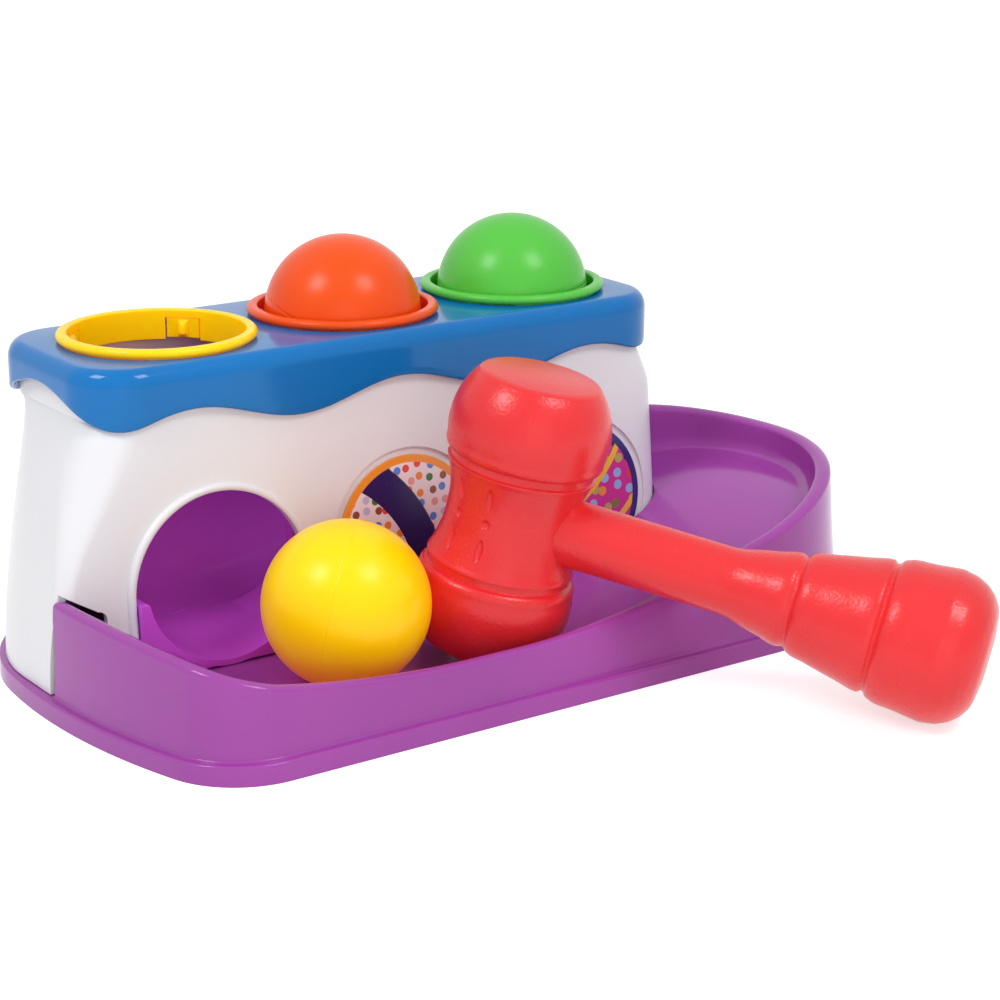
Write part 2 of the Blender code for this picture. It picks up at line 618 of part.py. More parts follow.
def tray_body():
    """The plinth and wall as one skin, each ring inset from the outline."""
    outline = tray_outline()
    heights = np.array([rim_height(*p) for p, _ in outline])
    foot = PLINTH_LEDGE
    lean = (heights - PLINTH_HEIGHT) * TRAY_DRAFT
    steps = [(0.0, 0.0), (0.0, PLINTH_HEIGHT - PLINTH_EDGE), (PLINTH_EDGE, PLINTH_HEIGHT),
             (foot, PLINTH_HEIGHT)]
    rings = [(np.full(len(outline), depth), np.full(len(outline), z)) for depth, z in steps]
    wall = TRAY_WALL + TRAY_WALL_GAIN * (heights - RIM_LOW) / (RIM_RIGHT - RIM_LOW)
    for across_share, down_share in RIM_SHARES:
        rings.append((foot + lean + wall * across_share, heights - RIM_ROUND * down_share))
    inner = foot + lean + wall
    skin = []
    for depths, levels in rings:
        skin.append([(p[0] - n[0] * d, p[1] - n[1] * d, z)
                     for (p, n), d, z in zip(outline, depths, levels)])
    for across_share, up_share in FILLET_SHARES:
        ring = [(p[0] - n[0] * (d + FLOOR_FILLET * across_share), p[1] - n[1] * (d + FLOOR_FILLET * across_share))
                for (p, n), d in zip(outline, inner)]
        skin.append([(x, y, floor_height(x) + FLOOR_FILLET * up_share) for x, y in ring])
    return draped_loft("base_tray", skin, floor_height, "purple_plastic")


def clip_outline(points, axis, limit, keep_above):
    """Cuts a closed outline along a line of constant X or Y."""
    kept = []
    sign = 1 if keep_above else -1
    for here, ahead in zip(points, points[1:] + points[:1]):
        inside = sign * (here[axis] - limit) >= 0
        inside_ahead = sign * (ahead[axis] - limit) >= 0
        if inside:
            kept.append(here)
        if inside != inside_ahead:
            share = (limit - here[axis]) / (ahead[axis] - here[axis])
            kept.append(tuple(h + (a - h) * share for h, a in zip(here, ahead)))
    return kept


def pocket_outline(edge, column, row, rib):
    """The part of an edge that belongs to one pocket, with half a rib left on its inner sides."""
    outline = edge
    for axis, index, count in ((0, column, POCKET_COLUMNS), (1, row, POCKET_ROWS)):
        places = [p[axis] for p in edge]
        step = (max(places) - min(places)) / count
        low = min(places) + step * index + (rib / 2 if index else 0.0)
        high = min(places) + step * (index + 1) - (rib / 2 if index < count - 1 else 0.0)
        outline = clip_outline(outline, axis, low, True)
        outline = clip_outline(outline, axis, high, False)
    return outline


def tray_pockets():
    """Hollows under the tray between its ribs: shallow ones, and deep ones under the raised floor."""
    outline = tray_outline(POCKET_CORNER_STEPS, POCKET_FRONT_STEPS, POCKET_END_STEPS)
    edge = inset(outline, POCKET_MARGIN)
    deep_edge = inset(outline, POCKET_MARGIN + POCKET_STEP)
    pockets = []
    for column in range(POCKET_COLUMNS):
        for row in range(POCKET_ROWS):
            name = f"pocket_{column}_{row}"
            pockets.append(prism(name, pocket_outline(edge, column, row, POCKET_RIB), -OVERRUN, POCKET_DEPTH))
            deep = pocket_outline(deep_edge, column, row, POCKET_RIB + POCKET_STEP * 2)
            deep = clip_outline(deep, 0, HOLLOW_START, True)
            if row == 0:
                deep = clip_outline(deep, 1, HOLLOW_BACK, False)
            else:
                deep = clip_outline(deep, 0, HOLLOW_LEFT, True)
            if deep:
                rings = [[(x, y, -OVERRUN) for x, y in deep], [(x, y, hollow_height(x)) for x, y in deep]]
                pockets.append(draped_loft(f"deep_{name}", rings, hollow_height))
    return pockets


def hollow_height(x):
    """Height of the hollows' roof under the raised floor."""
    return floor_height(x) - FLOOR_SKIN


def make_tray():
    """The tray with its plinth, cut back where the housing stands."""
    tray = tray_body()
    for pocket in tray_pockets():
        cut(tray, pocket)
    for index, (x, y) in enumerate(BASE_SCREWS + CHUTE_SCREWS):
        join(tray, cylinder(f"tray_pad_{index}", x, y, 0.0, TRAY_FLOOR - OVERRUN, PAD_RADIUS))
    join(tray, cylinder("tray_foot_pad", 0.0, 0.0, 0.0, TRAY_FLOOR - OVERRUN, FOOT_RADIUS, COLLAR_STEPS // 2))
    for index, (x, y) in enumerate(BASE_SCREWS + CHUTE_SCREWS):
        hole = turned(f"tray_screw_hole_{index}", (
            (SCREW_RECESS, -OVERRUN), (SCREW_RECESS, SCREW_RECESS_DEPTH),
            (SCREW_HOLE, SCREW_RECESS_DEPTH), (SCREW_HOLE, PLINTH_HEIGHT + OVERRUN)), SCREW_STEPS)
        hole.data.transform(Matrix.Translation((x, y, 0.0)))
        cut(tray, hole)
    far = TRAY_FRONT + TRAY_BACK
    room = [(-far, -NOTCH_PLANE - FIT_GAP), (TRAY_WALL_END_X, -NOTCH_PLANE - FIT_GAP),
            (TRAY_WALL_END_X, TRAY_WALL_END_Y), (far, TRAY_WALL_END_Y), (far, far), (-far, far)]
    cut(tray, prism("housing_room", room, PLINTH_HEIGHT, RIM_RIGHT * 2))
    cut(tray, loft("housing_space", shell_rings(HOUSING_ROOM, PLINTH_HEIGHT, RIM_RIGHT * 2)))
    return tray


# Housing

def arch_outline(radius, foot, steps=ARCH_STEPS):
    """A round-headed arch, from its left foot over to its right foot."""
    head = arc((ARCH_X, ARCH_SPRING), radius, 2 * QUARTER, 0.0, steps)
    return [(ARCH_X - radius, foot)] + [p for p, _ in head] + [(ARCH_X + radius, foot)]


def arch_bead():
    """A round bead that follows the arch on the housing's front face."""
    path = arch_outline(ARCH_RADIUS + ARCH_BEAD * BEAD_OUT_SHARE, SHELL_FOOT + ARCH_BEAD, BEAD_PATH_STEPS)
    rings = []
    for index, (x, z) in enumerate(path):
        before = path[max(index - 1, 0)]
        after = path[min(index + 1, len(path) - 1)]
        run = Vector((after[0] - before[0], after[1] - before[1])).normalized()
        ring = []
        for turn in np.arange(BEAD_STEPS) * (4 * QUARTER / BEAD_STEPS):
            out = ARCH_BEAD * math.cos(turn)
            ring.append((x + run.y * out, shell_front(z) + ARCH_BEAD * math.sin(turn), z - run.x * out))
        rings.append(ring)
    return loft("arch_bead", rings)


def label_frame(x, lift):
    """The plane of a picture disc, which leans back with the housing's front."""
    low = shell_front(LABEL_HEIGHT - LABEL_RADIUS)
    high = shell_front(LABEL_HEIGHT + LABEL_RADIUS)
    lean = math.atan2(high - low, 2 * LABEL_RADIUS)
    centre = Vector((x, (low + high) / 2, LABEL_HEIGHT))
    normal = Vector((0.0, -math.cos(lean), math.sin(lean)))
    up = Vector((0.0, math.sin(lean), math.cos(lean)))
    frame = Matrix((Vector((1.0, 0.0, 0.0)), up, normal)).transposed().to_4x4()
    return Matrix.Translation(centre + normal * lift) @ frame


def lid_tab(name, x, y):
    """A shelf across one of the housing's corners, for a lid screw."""
    outline = [p for p, _ in shell_outline(TAB_TOP, SEAT_BITE - SHELL_WALL)]
    outline = clip_outline(outline, 0, x - math.copysign(LID_TAB_REACH, x), x > 0)
    outline = clip_outline(outline, 1, y - math.copysign(LID_TAB_REACH, y), y > 0)
    return prism(name, outline, TAB_TOP - LID_TAB_THICKNESS, TAB_TOP)


def make_housing():
    """The white shell with its arch, picture recesses, corner notch and bosses."""
    outer = shell_rings(0.0, SHELL_FOOT, SHELL_TOP)
    inner = shell_rings(-SHELL_WALL, SHELL_FOOT, SHELL_TOP)
    housing = loft("housing_shell", outer + inner[::-1], "white_plastic", ends=False)
    join(housing, arch_bead())
    for index, (x, y) in enumerate(BASE_SCREWS):
        join(housing, cylinder(f"base_boss_{index}", x, y, SHELL_FOOT, SHELL_FOOT + BOSS_HEIGHT, BOSS_RADIUS))
    for index, (x, y) in enumerate(LID_POSTS):
        join(housing, lid_tab(f"lid_tab_{index}", x, y))
    deep = -TRAY_FRONT - TRAY_BACK
    arch = prism("arch_opening", arch_outline(ARCH_RADIUS, -OVERRUN), deep,
                 shell_front(SHELL_TOP) + SHELL_WALL + SHELL_CORNER / 2, along_y)
    cut(housing, arch)
    corner_z = NOTCH_TOP - NOTCH_FALL - NOTCH_ROUND
    corner = arc((-NOTCH_EDGE - NOTCH_ROUND, corner_z), NOTCH_ROUND, QUARTER, 0.0, NOTCH_STEPS)
    notch = [(deep, NOTCH_TOP), (-NOTCH_EDGE - NOTCH_RUN, NOTCH_TOP)] + [p for p, _ in corner]
    notch += [(-NOTCH_EDGE, -OVERRUN), (deep, -OVERRUN)]
    cut(housing, prism("front_notch", notch, deep, -NOTCH_PLANE, along_y))
    for index, x in enumerate((0.0, RING_PITCH)):
        recess = turned(f"label_recess_{index}", ((LABEL_RECESS_RADIUS, -LABEL_RECESS_DEPTH),
                                                  (LABEL_RECESS_RADIUS, SHELL_FRONT_FLARE)), LABEL_STEPS)
        recess.data.transform(label_frame(x, 0.0))
        cut(housing, recess)
    for index, (x, y) in enumerate(BASE_SCREWS):
        cut(housing, cylinder(f"base_pilot_{index}", x, y, -OVERRUN, SHELL_FOOT + SCREW_LENGTH, SCREW_PILOT))
    for index, (x, y) in enumerate(LID_POSTS):
        cut(housing, cylinder(f"tab_hole_{index}", x, y, TAB_TOP - LID_TAB_THICKNESS - OVERRUN,
                              TAB_TOP + OVERRUN, SCREW_HOLE))
    return housing


def make_labels():
    """The two printed discs in their recesses."""
    lift = FIT_GAP - LABEL_RECESS_DEPTH
    for name, x in (("middle_picture_disc", 0.0), ("right_picture_disc", RING_PITCH)):
        disc = turned(name, ((LABEL_RADIUS, lift), (LABEL_RADIUS, lift + LABEL_THICKNESS)), LABEL_STEPS,
                      "printed_label")
        disc.data.transform(label_frame(x, 0.0))


# Lid and its rings

def lid_outline():
    """The lid's rounded rectangle, with its ends bowed out a little."""
    outline = rounded_box(LID_SHIFT - LID_HALF_LENGTH, LID_SHIFT + LID_HALF_LENGTH,
                          -LID_HALF_DEPTH, LID_HALF_DEPTH, [LID_CORNER] * 4,
                          LID_CORNER_STEPS, LID_SIDE_STEPS, LID_END_STEPS)
    bowed = []
    for (x, y), normal in outline:
        side = math.copysign(1.0, x - LID_SHIFT)
        inside = abs(x - LID_SHIFT) < LID_HALF_LENGTH - LID_CORNER
        bow = 0.0 if inside else LID_END_BOW * (1 - (y / LID_HALF_DEPTH) ** 2)
        bowed.append(((x + side * bow, y), normal))
    return bowed


def skirt_foot(x, y):
    """Height of the skirt's lower edge: one wave along the sides, one across the ends."""
    side = LID_HEIGHT - SKIRT_SIDE_DROP + SKIRT_SIDE_WAVE * math.cos(2 * math.pi * x / SKIRT_SIDE_PITCH)
    end = LID_HEIGHT - SKIRT_END_DROP + SKIRT_END_WAVE * math.cos(2 * math.pi * y / SKIRT_END_PITCH)
    straight_half = LID_HALF_LENGTH - LID_CORNER
    if abs(x - LID_SHIFT) <= straight_half:
        return side
    turn = math.atan2(abs(x - LID_SHIFT) - straight_half, abs(y) - (LID_HALF_DEPTH - LID_CORNER))
    return side + (end - side) * smooth_step(turn / QUARTER)


def make_lid():
    """The blue lid: plate, rounded edge, waved skirt, posts and three holes."""
    outline = lid_outline()
    feet = np.array([skirt_foot(*p) for p, _ in outline])
    edge_low = LID_HEIGHT - LID_EDGE_DOWN
    under = LID_HEIGHT - LID_PLATE
    level = np.full(len(outline), 1.0)
    rings = [(SKIRT_ROOT, under * level), (SKIRT_WALL, edge_low * level), (SKIRT_WALL, feet),
             (0.0, feet), (0.0, edge_low * level)]
    for turn in np.linspace(0.0, QUARTER, LID_EDGE_STEPS + 1)[1:]:
        rings.append((LID_EDGE_ACROSS * (1 - math.cos(turn)),
                      (edge_low + LID_EDGE_DOWN * math.sin(turn)) * level))
    skin = [[(x, y, z) for (x, y), z in zip(inset(outline, depth), heights)] for depth, heights in rings]
    lid = loft("top_lid", skin, "blue_plastic")
    for index, (x, y) in enumerate(LID_POSTS):
        join(lid, cylinder(f"lid_post_{index}", x, y, POST_FOOT, under + LID_PLATE / 2, LID_POST_RADIUS))
        cut(lid, cylinder(f"post_pilot_{index}", x, y, POST_FOOT - OVERRUN, POST_FOOT + SCREW_LENGTH,
                          SCREW_PILOT))
    for share in RING_SHARES:
        hole = cylinder(f"ring_hole_{share}", share * RING_PITCH, 0.0, under - LID_PLATE,
                        LID_HEIGHT + LID_PLATE, COLLAR_TUBE + FIT_GAP, COLLAR_STEPS)
        cut(lid, hole)
    return lid


def sector(name, half_width, inner, outer, low, high, steps):
    """A block between two radii and two heights, centred on +X."""
    turns = np.linspace(-half_width, half_width, steps + 1)
    outline = [(outer * math.cos(t), outer * math.sin(t)) for t in turns]
    outline += [(inner * math.cos(t), inner * math.sin(t)) for t in turns[::-1]]
    return prism(name, outline, low, high)


def finger_turns():
    """The fingers' directions round a ring."""
    return [FINGER_FIRST + index * 2 * math.pi / FINGER_COUNT for index in range(FINGER_COUNT)]


def make_collar(name, x, finish):
    """A ring with a rounded lip on the lid and a tube through it, slit for its fingers."""
    half = COLLAR_LIP_HEIGHT / 2
    middle = COLLAR_SEAT + half
    profile = [(COLLAR_BORE, COLLAR_FOOT), (COLLAR_TUBE, COLLAR_FOOT), (COLLAR_TUBE, COLLAR_SEAT)]
    for turn in np.linspace(-QUARTER, QUARTER, LIP_STEPS + 1):
        profile.append((COLLAR_LIP - half + half * math.cos(turn), middle + half * math.sin(turn)))
    profile += [(COLLAR_BORE + half / 2, COLLAR_TOP), (COLLAR_BORE, COLLAR_TOP - half / 2)]
    collar = turned(name, profile, COLLAR_STEPS, finish, ring=True)
    slit_gap = FIT_GAP / COLLAR_BORE
    for index, turn in enumerate(finger_turns()):
        slit = sector(f"{name}_slit_{index}", FINGER_HALF_WIDTH + slit_gap, COLLAR_BORE - OVERRUN,
                      COLLAR_TUBE + OVERRUN, COLLAR_FOOT - OVERRUN, COLLAR_SEAT, SLIT_STEPS)
        slit.data.transform(Matrix.Rotation(turn, 4, "Z"))
        slit.location = (x, 0.0, 0.0)
        cut(collar, slit)
    collar.location = (x, 0.0, 0.0)
    return collar


def nub_reach(height):
    """Radius of a nub's face: it follows the seated ball, then rounds back to the finger."""
    drop = SEATED_BALL_Z - height
    return math.sqrt(BALL_RADIUS ** 2 - drop ** 2) + NUB_GAP


def make_finger(name, x, turn, finish):
    """A flexible finger with a nub that holds the ball. Its origin is its bending line."""
    hinge_radius = COLLAR_BORE + FINGER_WALL / 2
    low = COLLAR_FOOT + FINGER_FOOT
    high = FINGER_HINGE_Z
    nub_low = low + NUB_FOOT
    nub_top = nub_low + NUB_HEIGHT
    outer = COLLAR_BORE + FINGER_WALL
    turns = [share * NUB_HALF_WIDTH for share in NUB_TURN_SHARES]
    turns = [-FINGER_HALF_WIDTH] + turns + [FINGER_HALF_WIDTH]
    heights = [low, nub_low] + [nub_low + NUB_HEIGHT * share for share in NUB_LEVEL_SHARES] + [nub_top, high]
    rings = []
    for height in heights:
        up = (height - nub_low) / NUB_HEIGHT
        inner = []
        for t in turns:
            inside = max(0.0, 1 - (t / NUB_HALF_WIDTH) ** 2)
            rounding = max(0.0, (up - NUB_FLAT_SHARE) / (1 - NUB_FLAT_SHARE))
            dome = math.sqrt(1 - rounding ** 2) if 0 <= up < 1 else 0.0
            radius = COLLAR_BORE + (nub_reach(height) - COLLAR_BORE) * math.sqrt(inside) * dome
            inner.append((radius * math.cos(t), radius * math.sin(t), height))
        outside = [(outer * math.cos(t), outer * math.sin(t), height) for t in turns[::-1]]
        rings.append(inner + outside)
    finger = loft(name, rings, finish)
    finger.data.transform(Matrix.Translation((-hinge_radius, 0.0, -FINGER_HINGE_Z)))
    finger.rotation_euler = (0.0, 0.0, turn)
    finger.location = (x + hinge_radius * math.cos(turn), hinge_radius * math.sin(turn), FINGER_HINGE_Z)
    return finger


def make_ball(name, place, finish):
    """A moulded ball. Its origin is its centre."""
    mesh = bpy.data.meshes.new(name)
    shape = bmesh.new()
    bmesh.ops.create_uvsphere(shape, u_segments=BALL_SEGMENTS, v_segments=BALL_RINGS, radius=BALL_RADIUS)
    shape.to_mesh(mesh)
    shape.free()
    mesh.materials.append(material(finish))
    mesh.shade_smooth()
    ball = bpy.data.objects.new(name, mesh)
    bpy.context.scene.collection.objects.link(ball)
    ball.location = place
    return ball


# Chute

def trough_section(half_width, floor, top, turn_to_y):
    """A round-bottomed U: down one side, round the floor and up the other."""
    centre = floor + half_width
    turns = np.linspace(2 * QUARTER, 4 * QUARTER, CHUTE_ARC_STEPS + 1)
    side = [(half_width * math.cos(t), centre + half_width * math.sin(t)) for t in turns]
    return [turn_to_y(u, v) for u, v in [(-half_width, top)] + side + [(half_width, top)]]


def trough_rings(radius, under, top):
    """Sections of the sloping trough along X, with a round end at each side."""
    rings = []
    turns = np.linspace(CHUTE_LAST_TURN, 0.0, CHUTE_END_STEPS + 1)
    stations = [(-CHUTE_END_X - radius * math.sin(t), radius * math.cos(t), -CHUTE_END_X) for t in turns]
    stations += [(CHUTE_END_X + radius * math.sin(t), radius * math.cos(t), CHUTE_END_X) for t in turns[::-1]]
    for x, half_width, end in stations:
        floor = chute_floor(end) - under + radius - half_width
        rings.append(trough_section(half_width, floor, top, lambda u, v, x=x: (x, u, v)))
    return rings


def chute_floor(x):
    """Height of the chute's floor below the rings."""
    bowl = TRAY_FLOOR + FIT_GAP + CHUTE_WALL - CHUTE_MOUTH_Y * math.tan(CHUTE_MOUTH_SLOPE)
    return bowl + (x + CHUTE_END_X) * math.tan(CHUTE_SLOPE)


def mouth_rings(radius, under, top, front):
    """Sections of the mouth along Y, from the bowl out through the arch."""
    rings = []
    for y in (OVERRUN, front):
        floor = chute_floor(-CHUTE_END_X) + y * math.tan(CHUTE_MOUTH_SLOPE) - under
        rings.append(trough_section(radius, floor, top, lambda u, v, y=y: (u - CHUTE_END_X, y, v)))
    return rings


def make_chute():
    """The purple chute under the rings, which carries a ball down to the arch."""
    outer = CHUTE_RADIUS + CHUTE_WALL
    chute = loft("inner_chute", trough_rings(outer, CHUTE_WALL, CHUTE_TOP), "purple_plastic")
    join(chute, loft("chute_mouth", mouth_rings(outer - MOUTH_STEP, CHUTE_WALL, CHUTE_TOP - MOUTH_STEP,
                                                CHUTE_MOUTH_Y)))
    foot = SHELL_FOOT
    cheek = [(-CHUTE_END_X - outer * 2, CHUTE_CHEEK_Y * 2), (-CHUTE_END_X + outer * 2, CHUTE_CHEEK_Y * 2),
             (-CHUTE_END_X + outer * 2, CHUTE_CHEEK_Y), (-CHUTE_END_X - outer * 2, CHUTE_CHEEK_Y)]
    cut(chute, prism("mouth_cheek_room", cheek, CHUTE_CHEEK_Z, CHUTE_TOP * 2))
    near = ARCH_X + ARCH_RADIUS - FIT_GAP
    far = ARCH_X * 2 - near
    lip = [(far, foot), (near, foot), (near, CHUTE_LIP_TOP), (far, CHUTE_LIP_TOP)]
    join(chute, prism("mouth_lip", lip, CHUTE_MOUTH_Y + MOUTH_STEP, CHUTE_CHEEK_Y + MOUTH_STEP, along_y))
    for index, x in enumerate(CHUTE_LEG_X):
        top = chute_floor(x) + CHUTE_RADIUS / 2
        half = CHUTE_LEG_THICKNESS / 2
        outline = [(-CHUTE_LEG_HALF_WIDTH, foot), (CHUTE_LEG_HALF_WIDTH, foot),
                   (CHUTE_LEG_HALF_WIDTH, top), (-CHUTE_LEG_HALF_WIDTH, top)]
        join(chute, prism(f"chute_leg_{index}", outline, x - half, x + half, along_x))
        join(chute, cylinder(f"chute_boss_{index}", x, 0.0, foot, chute_floor(x) + CHUTE_WALL,
                             CHUTE_BOSS_RADIUS))
    cut(chute, loft("chute_channel", trough_rings(CHUTE_RADIUS, 0.0, CHUTE_TOP + OVERRUN)))
    cut(chute, loft("mouth_channel", mouth_rings(CHUTE_RADIUS - MOUTH_STEP, 0.0, CHUTE_TOP * 2,
                                                 CHUTE_MOUTH_Y - OVERRUN)))
    for index, x in enumerate(CHUTE_LEG_X):
        pilot_top = foot + SCREW_LENGTH * 0.75
        cut(chute, cylinder(f"chute_pilot_{index}", x, 0.0, -OVERRUN, pilot_top, SCREW_PILOT))
    return chute


# Hammer and screws

def make_hammer():
    """The one-piece blow-moulded hammer, lying on the tray with its grip on the ground."""
    half = [(share_along * HEAD_HALF_LENGTH, share_out * HEAD_RADIUS)
            for share_along, share_out in HEAD_PROFILE_SHARES]
    head_profile = [(r, -s) for s, r in half[:0:-1]] + [(r, s) for s, r in half]
    hammer = turned("hammer", head_profile, HEAD_STEPS, "red_plastic")
    handle = turned("hammer_handle", [(r * GRIP_RADIUS, s * HANDLE_LENGTH)
                                      for s, r in HANDLE_PROFILE_SHARES], HANDLE_STEPS)
    grip = Vector(HAMMER_HANDLE_DIRECTION).normalized()
    head = Vector(HAMMER_HEAD_DIRECTION)
    head = (head - grip * head.dot(grip)).normalized()
    side = grip.cross(head)
    frame = Matrix((side, -grip, head)).transposed().to_4x4()
    below = Matrix.Translation((0.0, 0.0, -HANDLE_BELOW))
    handle.data.transform(below @ Matrix.Rotation(QUARTER, 4, "X"))
    for piece in (hammer, handle):
        piece.matrix_world = Matrix.Translation((HAMMER_X, HAMMER_Y, HAMMER_Z)) @ frame
    join(hammer, handle)
    return hammer


def make_screws():
    """Pan-head screws with a cross recess: four in the base, two in the chute, four in the lid."""
    under_base = SCREW_RECESS_DEPTH - FIT_GAP
    under_tab = TAB_TOP - LID_TAB_THICKNESS - FIT_GAP
    places = [(f"base_screw_{i + 1}", x, y, under_base) for i, (x, y) in enumerate(BASE_SCREWS)]
    places += [(f"chute_screw_{i + 1}", x, y, under_base) for i, (x, y) in enumerate(CHUTE_SCREWS)]
    places += [(f"lid_screw_{i + 1}", x, y, under_tab) for i, (x, y) in enumerate(LID_POSTS)]
    edge = SCREW_HEAD * 0.75
    profile = [(edge, -SCREW_HEAD_HEIGHT), (SCREW_HEAD, -SCREW_HEAD_HEIGHT * 0.6), (SCREW_HEAD, 0.0),
               (SCREW_SHANK, 0.0), (SCREW_SHANK, SCREW_LENGTH * 0.85), (SCREW_SHANK * 0.4, SCREW_LENGTH)]
    for name, x, y, seat in places:
        screw = turned(name, profile, SCREW_STEPS, "zinc_steel")
        screw.location = (x, y, seat)
        half = SCREW_SLOT / 2
        reach = SCREW_SLOT_LENGTH / 2
        cross = [(reach, -half), (reach, half), (half, half), (half, reach), (-half, reach), (-half, half),
                 (-reach, half), (-reach, -half), (-half, -half), (-half, -reach), (half, -reach),
                 (half, -half)]
        slot = prism(f"{name}_cross", cross, -SCREW_HEAD_HEIGHT - OVERRUN,
                     SCREW_SLOT_DEPTH - SCREW_HEAD_HEIGHT)
        slot.location = screw.location
        cut(screw, slot)


def main():
    """Clears the scene and makes every piece."""
    for old in list(bpy.data.objects):
        bpy.data.objects.remove(old, do_unlink=True)
    make_tray()
    make_chute()
    make_housing()
    make_labels()
    make_lid()
    finishes = ("yellow_plastic", "orange_plastic", "green_plastic")
    for side, share, finish in zip(RING_NAMES, RING_SHARES, finishes):
        x = share * RING_PITCH
        make_collar(f"{side}_ring_collar", x, finish)
        for index, turn in enumerate(finger_turns()):
            make_finger(f"{side}_ring_finger_{index + 1}", x, turn, finish)
    make_ball("orange_ball", (0.0, 0.0, SEATED_BALL_Z), "orange_plastic")
    make_ball("green_ball", (RING_PITCH, 0.0, SEATED_BALL_Z), "green_plastic")
    loose = (LOOSE_BALL_X, LOOSE_BALL_Y, TRAY_FLOOR + FIT_GAP + BALL_RADIUS)
    make_ball("yellow_ball", loose, "yellow_plastic")
    make_hammer()
    make_screws()


main()
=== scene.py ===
"""Looks of a ball pounding bench: a moulded toddler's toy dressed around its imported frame.

Every piece is rebuilt at a fine grain from the same sizes as its solid, rides on the
same body and stands in for it. Lengths are in metres in the frame's own axes: +X along
the bench, +Y away from the user, +Z up, with the ground at zero.
"""
import json
import logging
import math
from dataclasses import dataclass
from enum import Enum
from typing import Callable, Sequence

import bmesh
import bpy
import numpy as np
from mathutils import Matrix, Vector
from mathutils.geometry import delaunay_2d_cdt


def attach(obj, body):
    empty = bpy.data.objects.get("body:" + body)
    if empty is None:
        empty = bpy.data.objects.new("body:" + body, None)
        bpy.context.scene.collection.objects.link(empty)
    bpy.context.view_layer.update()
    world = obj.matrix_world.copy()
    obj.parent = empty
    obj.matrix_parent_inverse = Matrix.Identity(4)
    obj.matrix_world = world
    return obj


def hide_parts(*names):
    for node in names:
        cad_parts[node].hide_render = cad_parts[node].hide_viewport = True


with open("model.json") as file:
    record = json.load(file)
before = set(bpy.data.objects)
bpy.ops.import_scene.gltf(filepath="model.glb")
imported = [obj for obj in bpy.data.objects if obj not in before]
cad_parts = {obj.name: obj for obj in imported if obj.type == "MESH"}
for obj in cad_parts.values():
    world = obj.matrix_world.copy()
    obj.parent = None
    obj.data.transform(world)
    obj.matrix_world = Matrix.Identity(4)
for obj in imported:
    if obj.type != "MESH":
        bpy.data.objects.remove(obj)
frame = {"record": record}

LOG = logging.getLogger("pounding_bench")
MM = 0.001
TURN = 2.0 * math.pi
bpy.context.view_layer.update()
MERGE = 1e-6  # points nearer than this become one
SHARP = math.radians(38.0)  # edges bent more than this stay crisp
FIT_GAP = 0.3 * MM  # room between two pieces that fit together
OVERRUN = 1.0 * MM  # how far a cutting solid runs past what it cuts
LINE_MARGIN = 1.0 * MM  # how near an outline's end a line across it may lie
LINE_INSET = 0.3 * MM  # how far such a line stops short of the outline
TWIN_GAP = 0.05 * MM  # points of an outline nearer than this are thinned


class Tool(Enum):
    """How a second solid works on the first."""

    CUT = "DIFFERENCE"
    ADD = "UNION"


class Side(Enum):
    """The three rings along the bench, each with its place as a multiple of the pitch."""

    LEFT = -1
    MIDDLE = 0
    RIGHT = 1


# Meshes from arrays

def new_piece(name: str, points: np.ndarray, faces: list, sharp: float = SHARP) -> bpy.types.Object:
    """Makes an object from points and faces, with doubles merged and faces turned out.

    Args:
        name: the object's name.
        points: an (n, 3) array.
        faces: lists of point indices.
        sharp: edges bent more than this angle stay crisp.

    Returns:
        The new object, linked to the scene.
    """
    mesh = bpy.data.meshes.new(name)
    mesh.from_pydata(np.asarray(points, dtype=float).tolist(), [], faces)
    shape = bmesh.new()
    shape.from_mesh(mesh)
    bmesh.ops.remove_doubles(shape, verts=shape.verts, dist=MERGE)
    bmesh.ops.recalc_face_normals(shape, faces=shape.faces)
    shape.to_mesh(mesh)
    shape.free()
    mesh.shade_smooth()
    mesh.set_sharp_from_angle(angle=sharp)
    made = bpy.data.objects.new(name, mesh)
    bpy.context.scene.collection.objects.link(made)
    return made


def grid_faces(rows: int, columns: int, close_rows: bool) -> list:
    """Quads of a grid whose columns close on themselves, and whose rows may.

    Args:
        rows: how many rings there are.
        columns: points in a ring.
        close_rows: whether the last ring joins the first.

    Returns:
        A list of index lists.
    """
    row = np.arange(rows if close_rows else rows - 1)[:, None]
    column = np.arange(columns)[None, :]
    ahead_row = (row + 1) % rows
    ahead_column = (column + 1) % columns
    corners = (row * columns + column, row * columns + ahead_column,
               ahead_row * columns + ahead_column, ahead_row * columns + column)
    return np.stack(corners, axis=-1).reshape(-1, 4).tolist()


def loft(name: str, rings: np.ndarray, ring: bool = False, sharp: float = SHARP) -> bpy.types.Object:
    """A skin through rings of points: a closed band, or a solid with flat ends.

    Args:
        name: the object's name.
        rings: an (m, n, 3) array, ring by ring.
        ring: whether the last ring joins the first.
        sharp: edges bent more than this angle stay crisp.

    Returns:
        The new object.
    """
    rings = np.asarray(rings, dtype=float)
    rows, columns = rings.shape[:2]
    faces = grid_faces(rows, columns, ring)
    if not ring:
        faces.append(list(range(columns))[::-1])
        faces.append(list(range((rows - 1) * columns, rows * columns)))
    return new_piece(name, rings.reshape(-1, 3), faces, sharp)


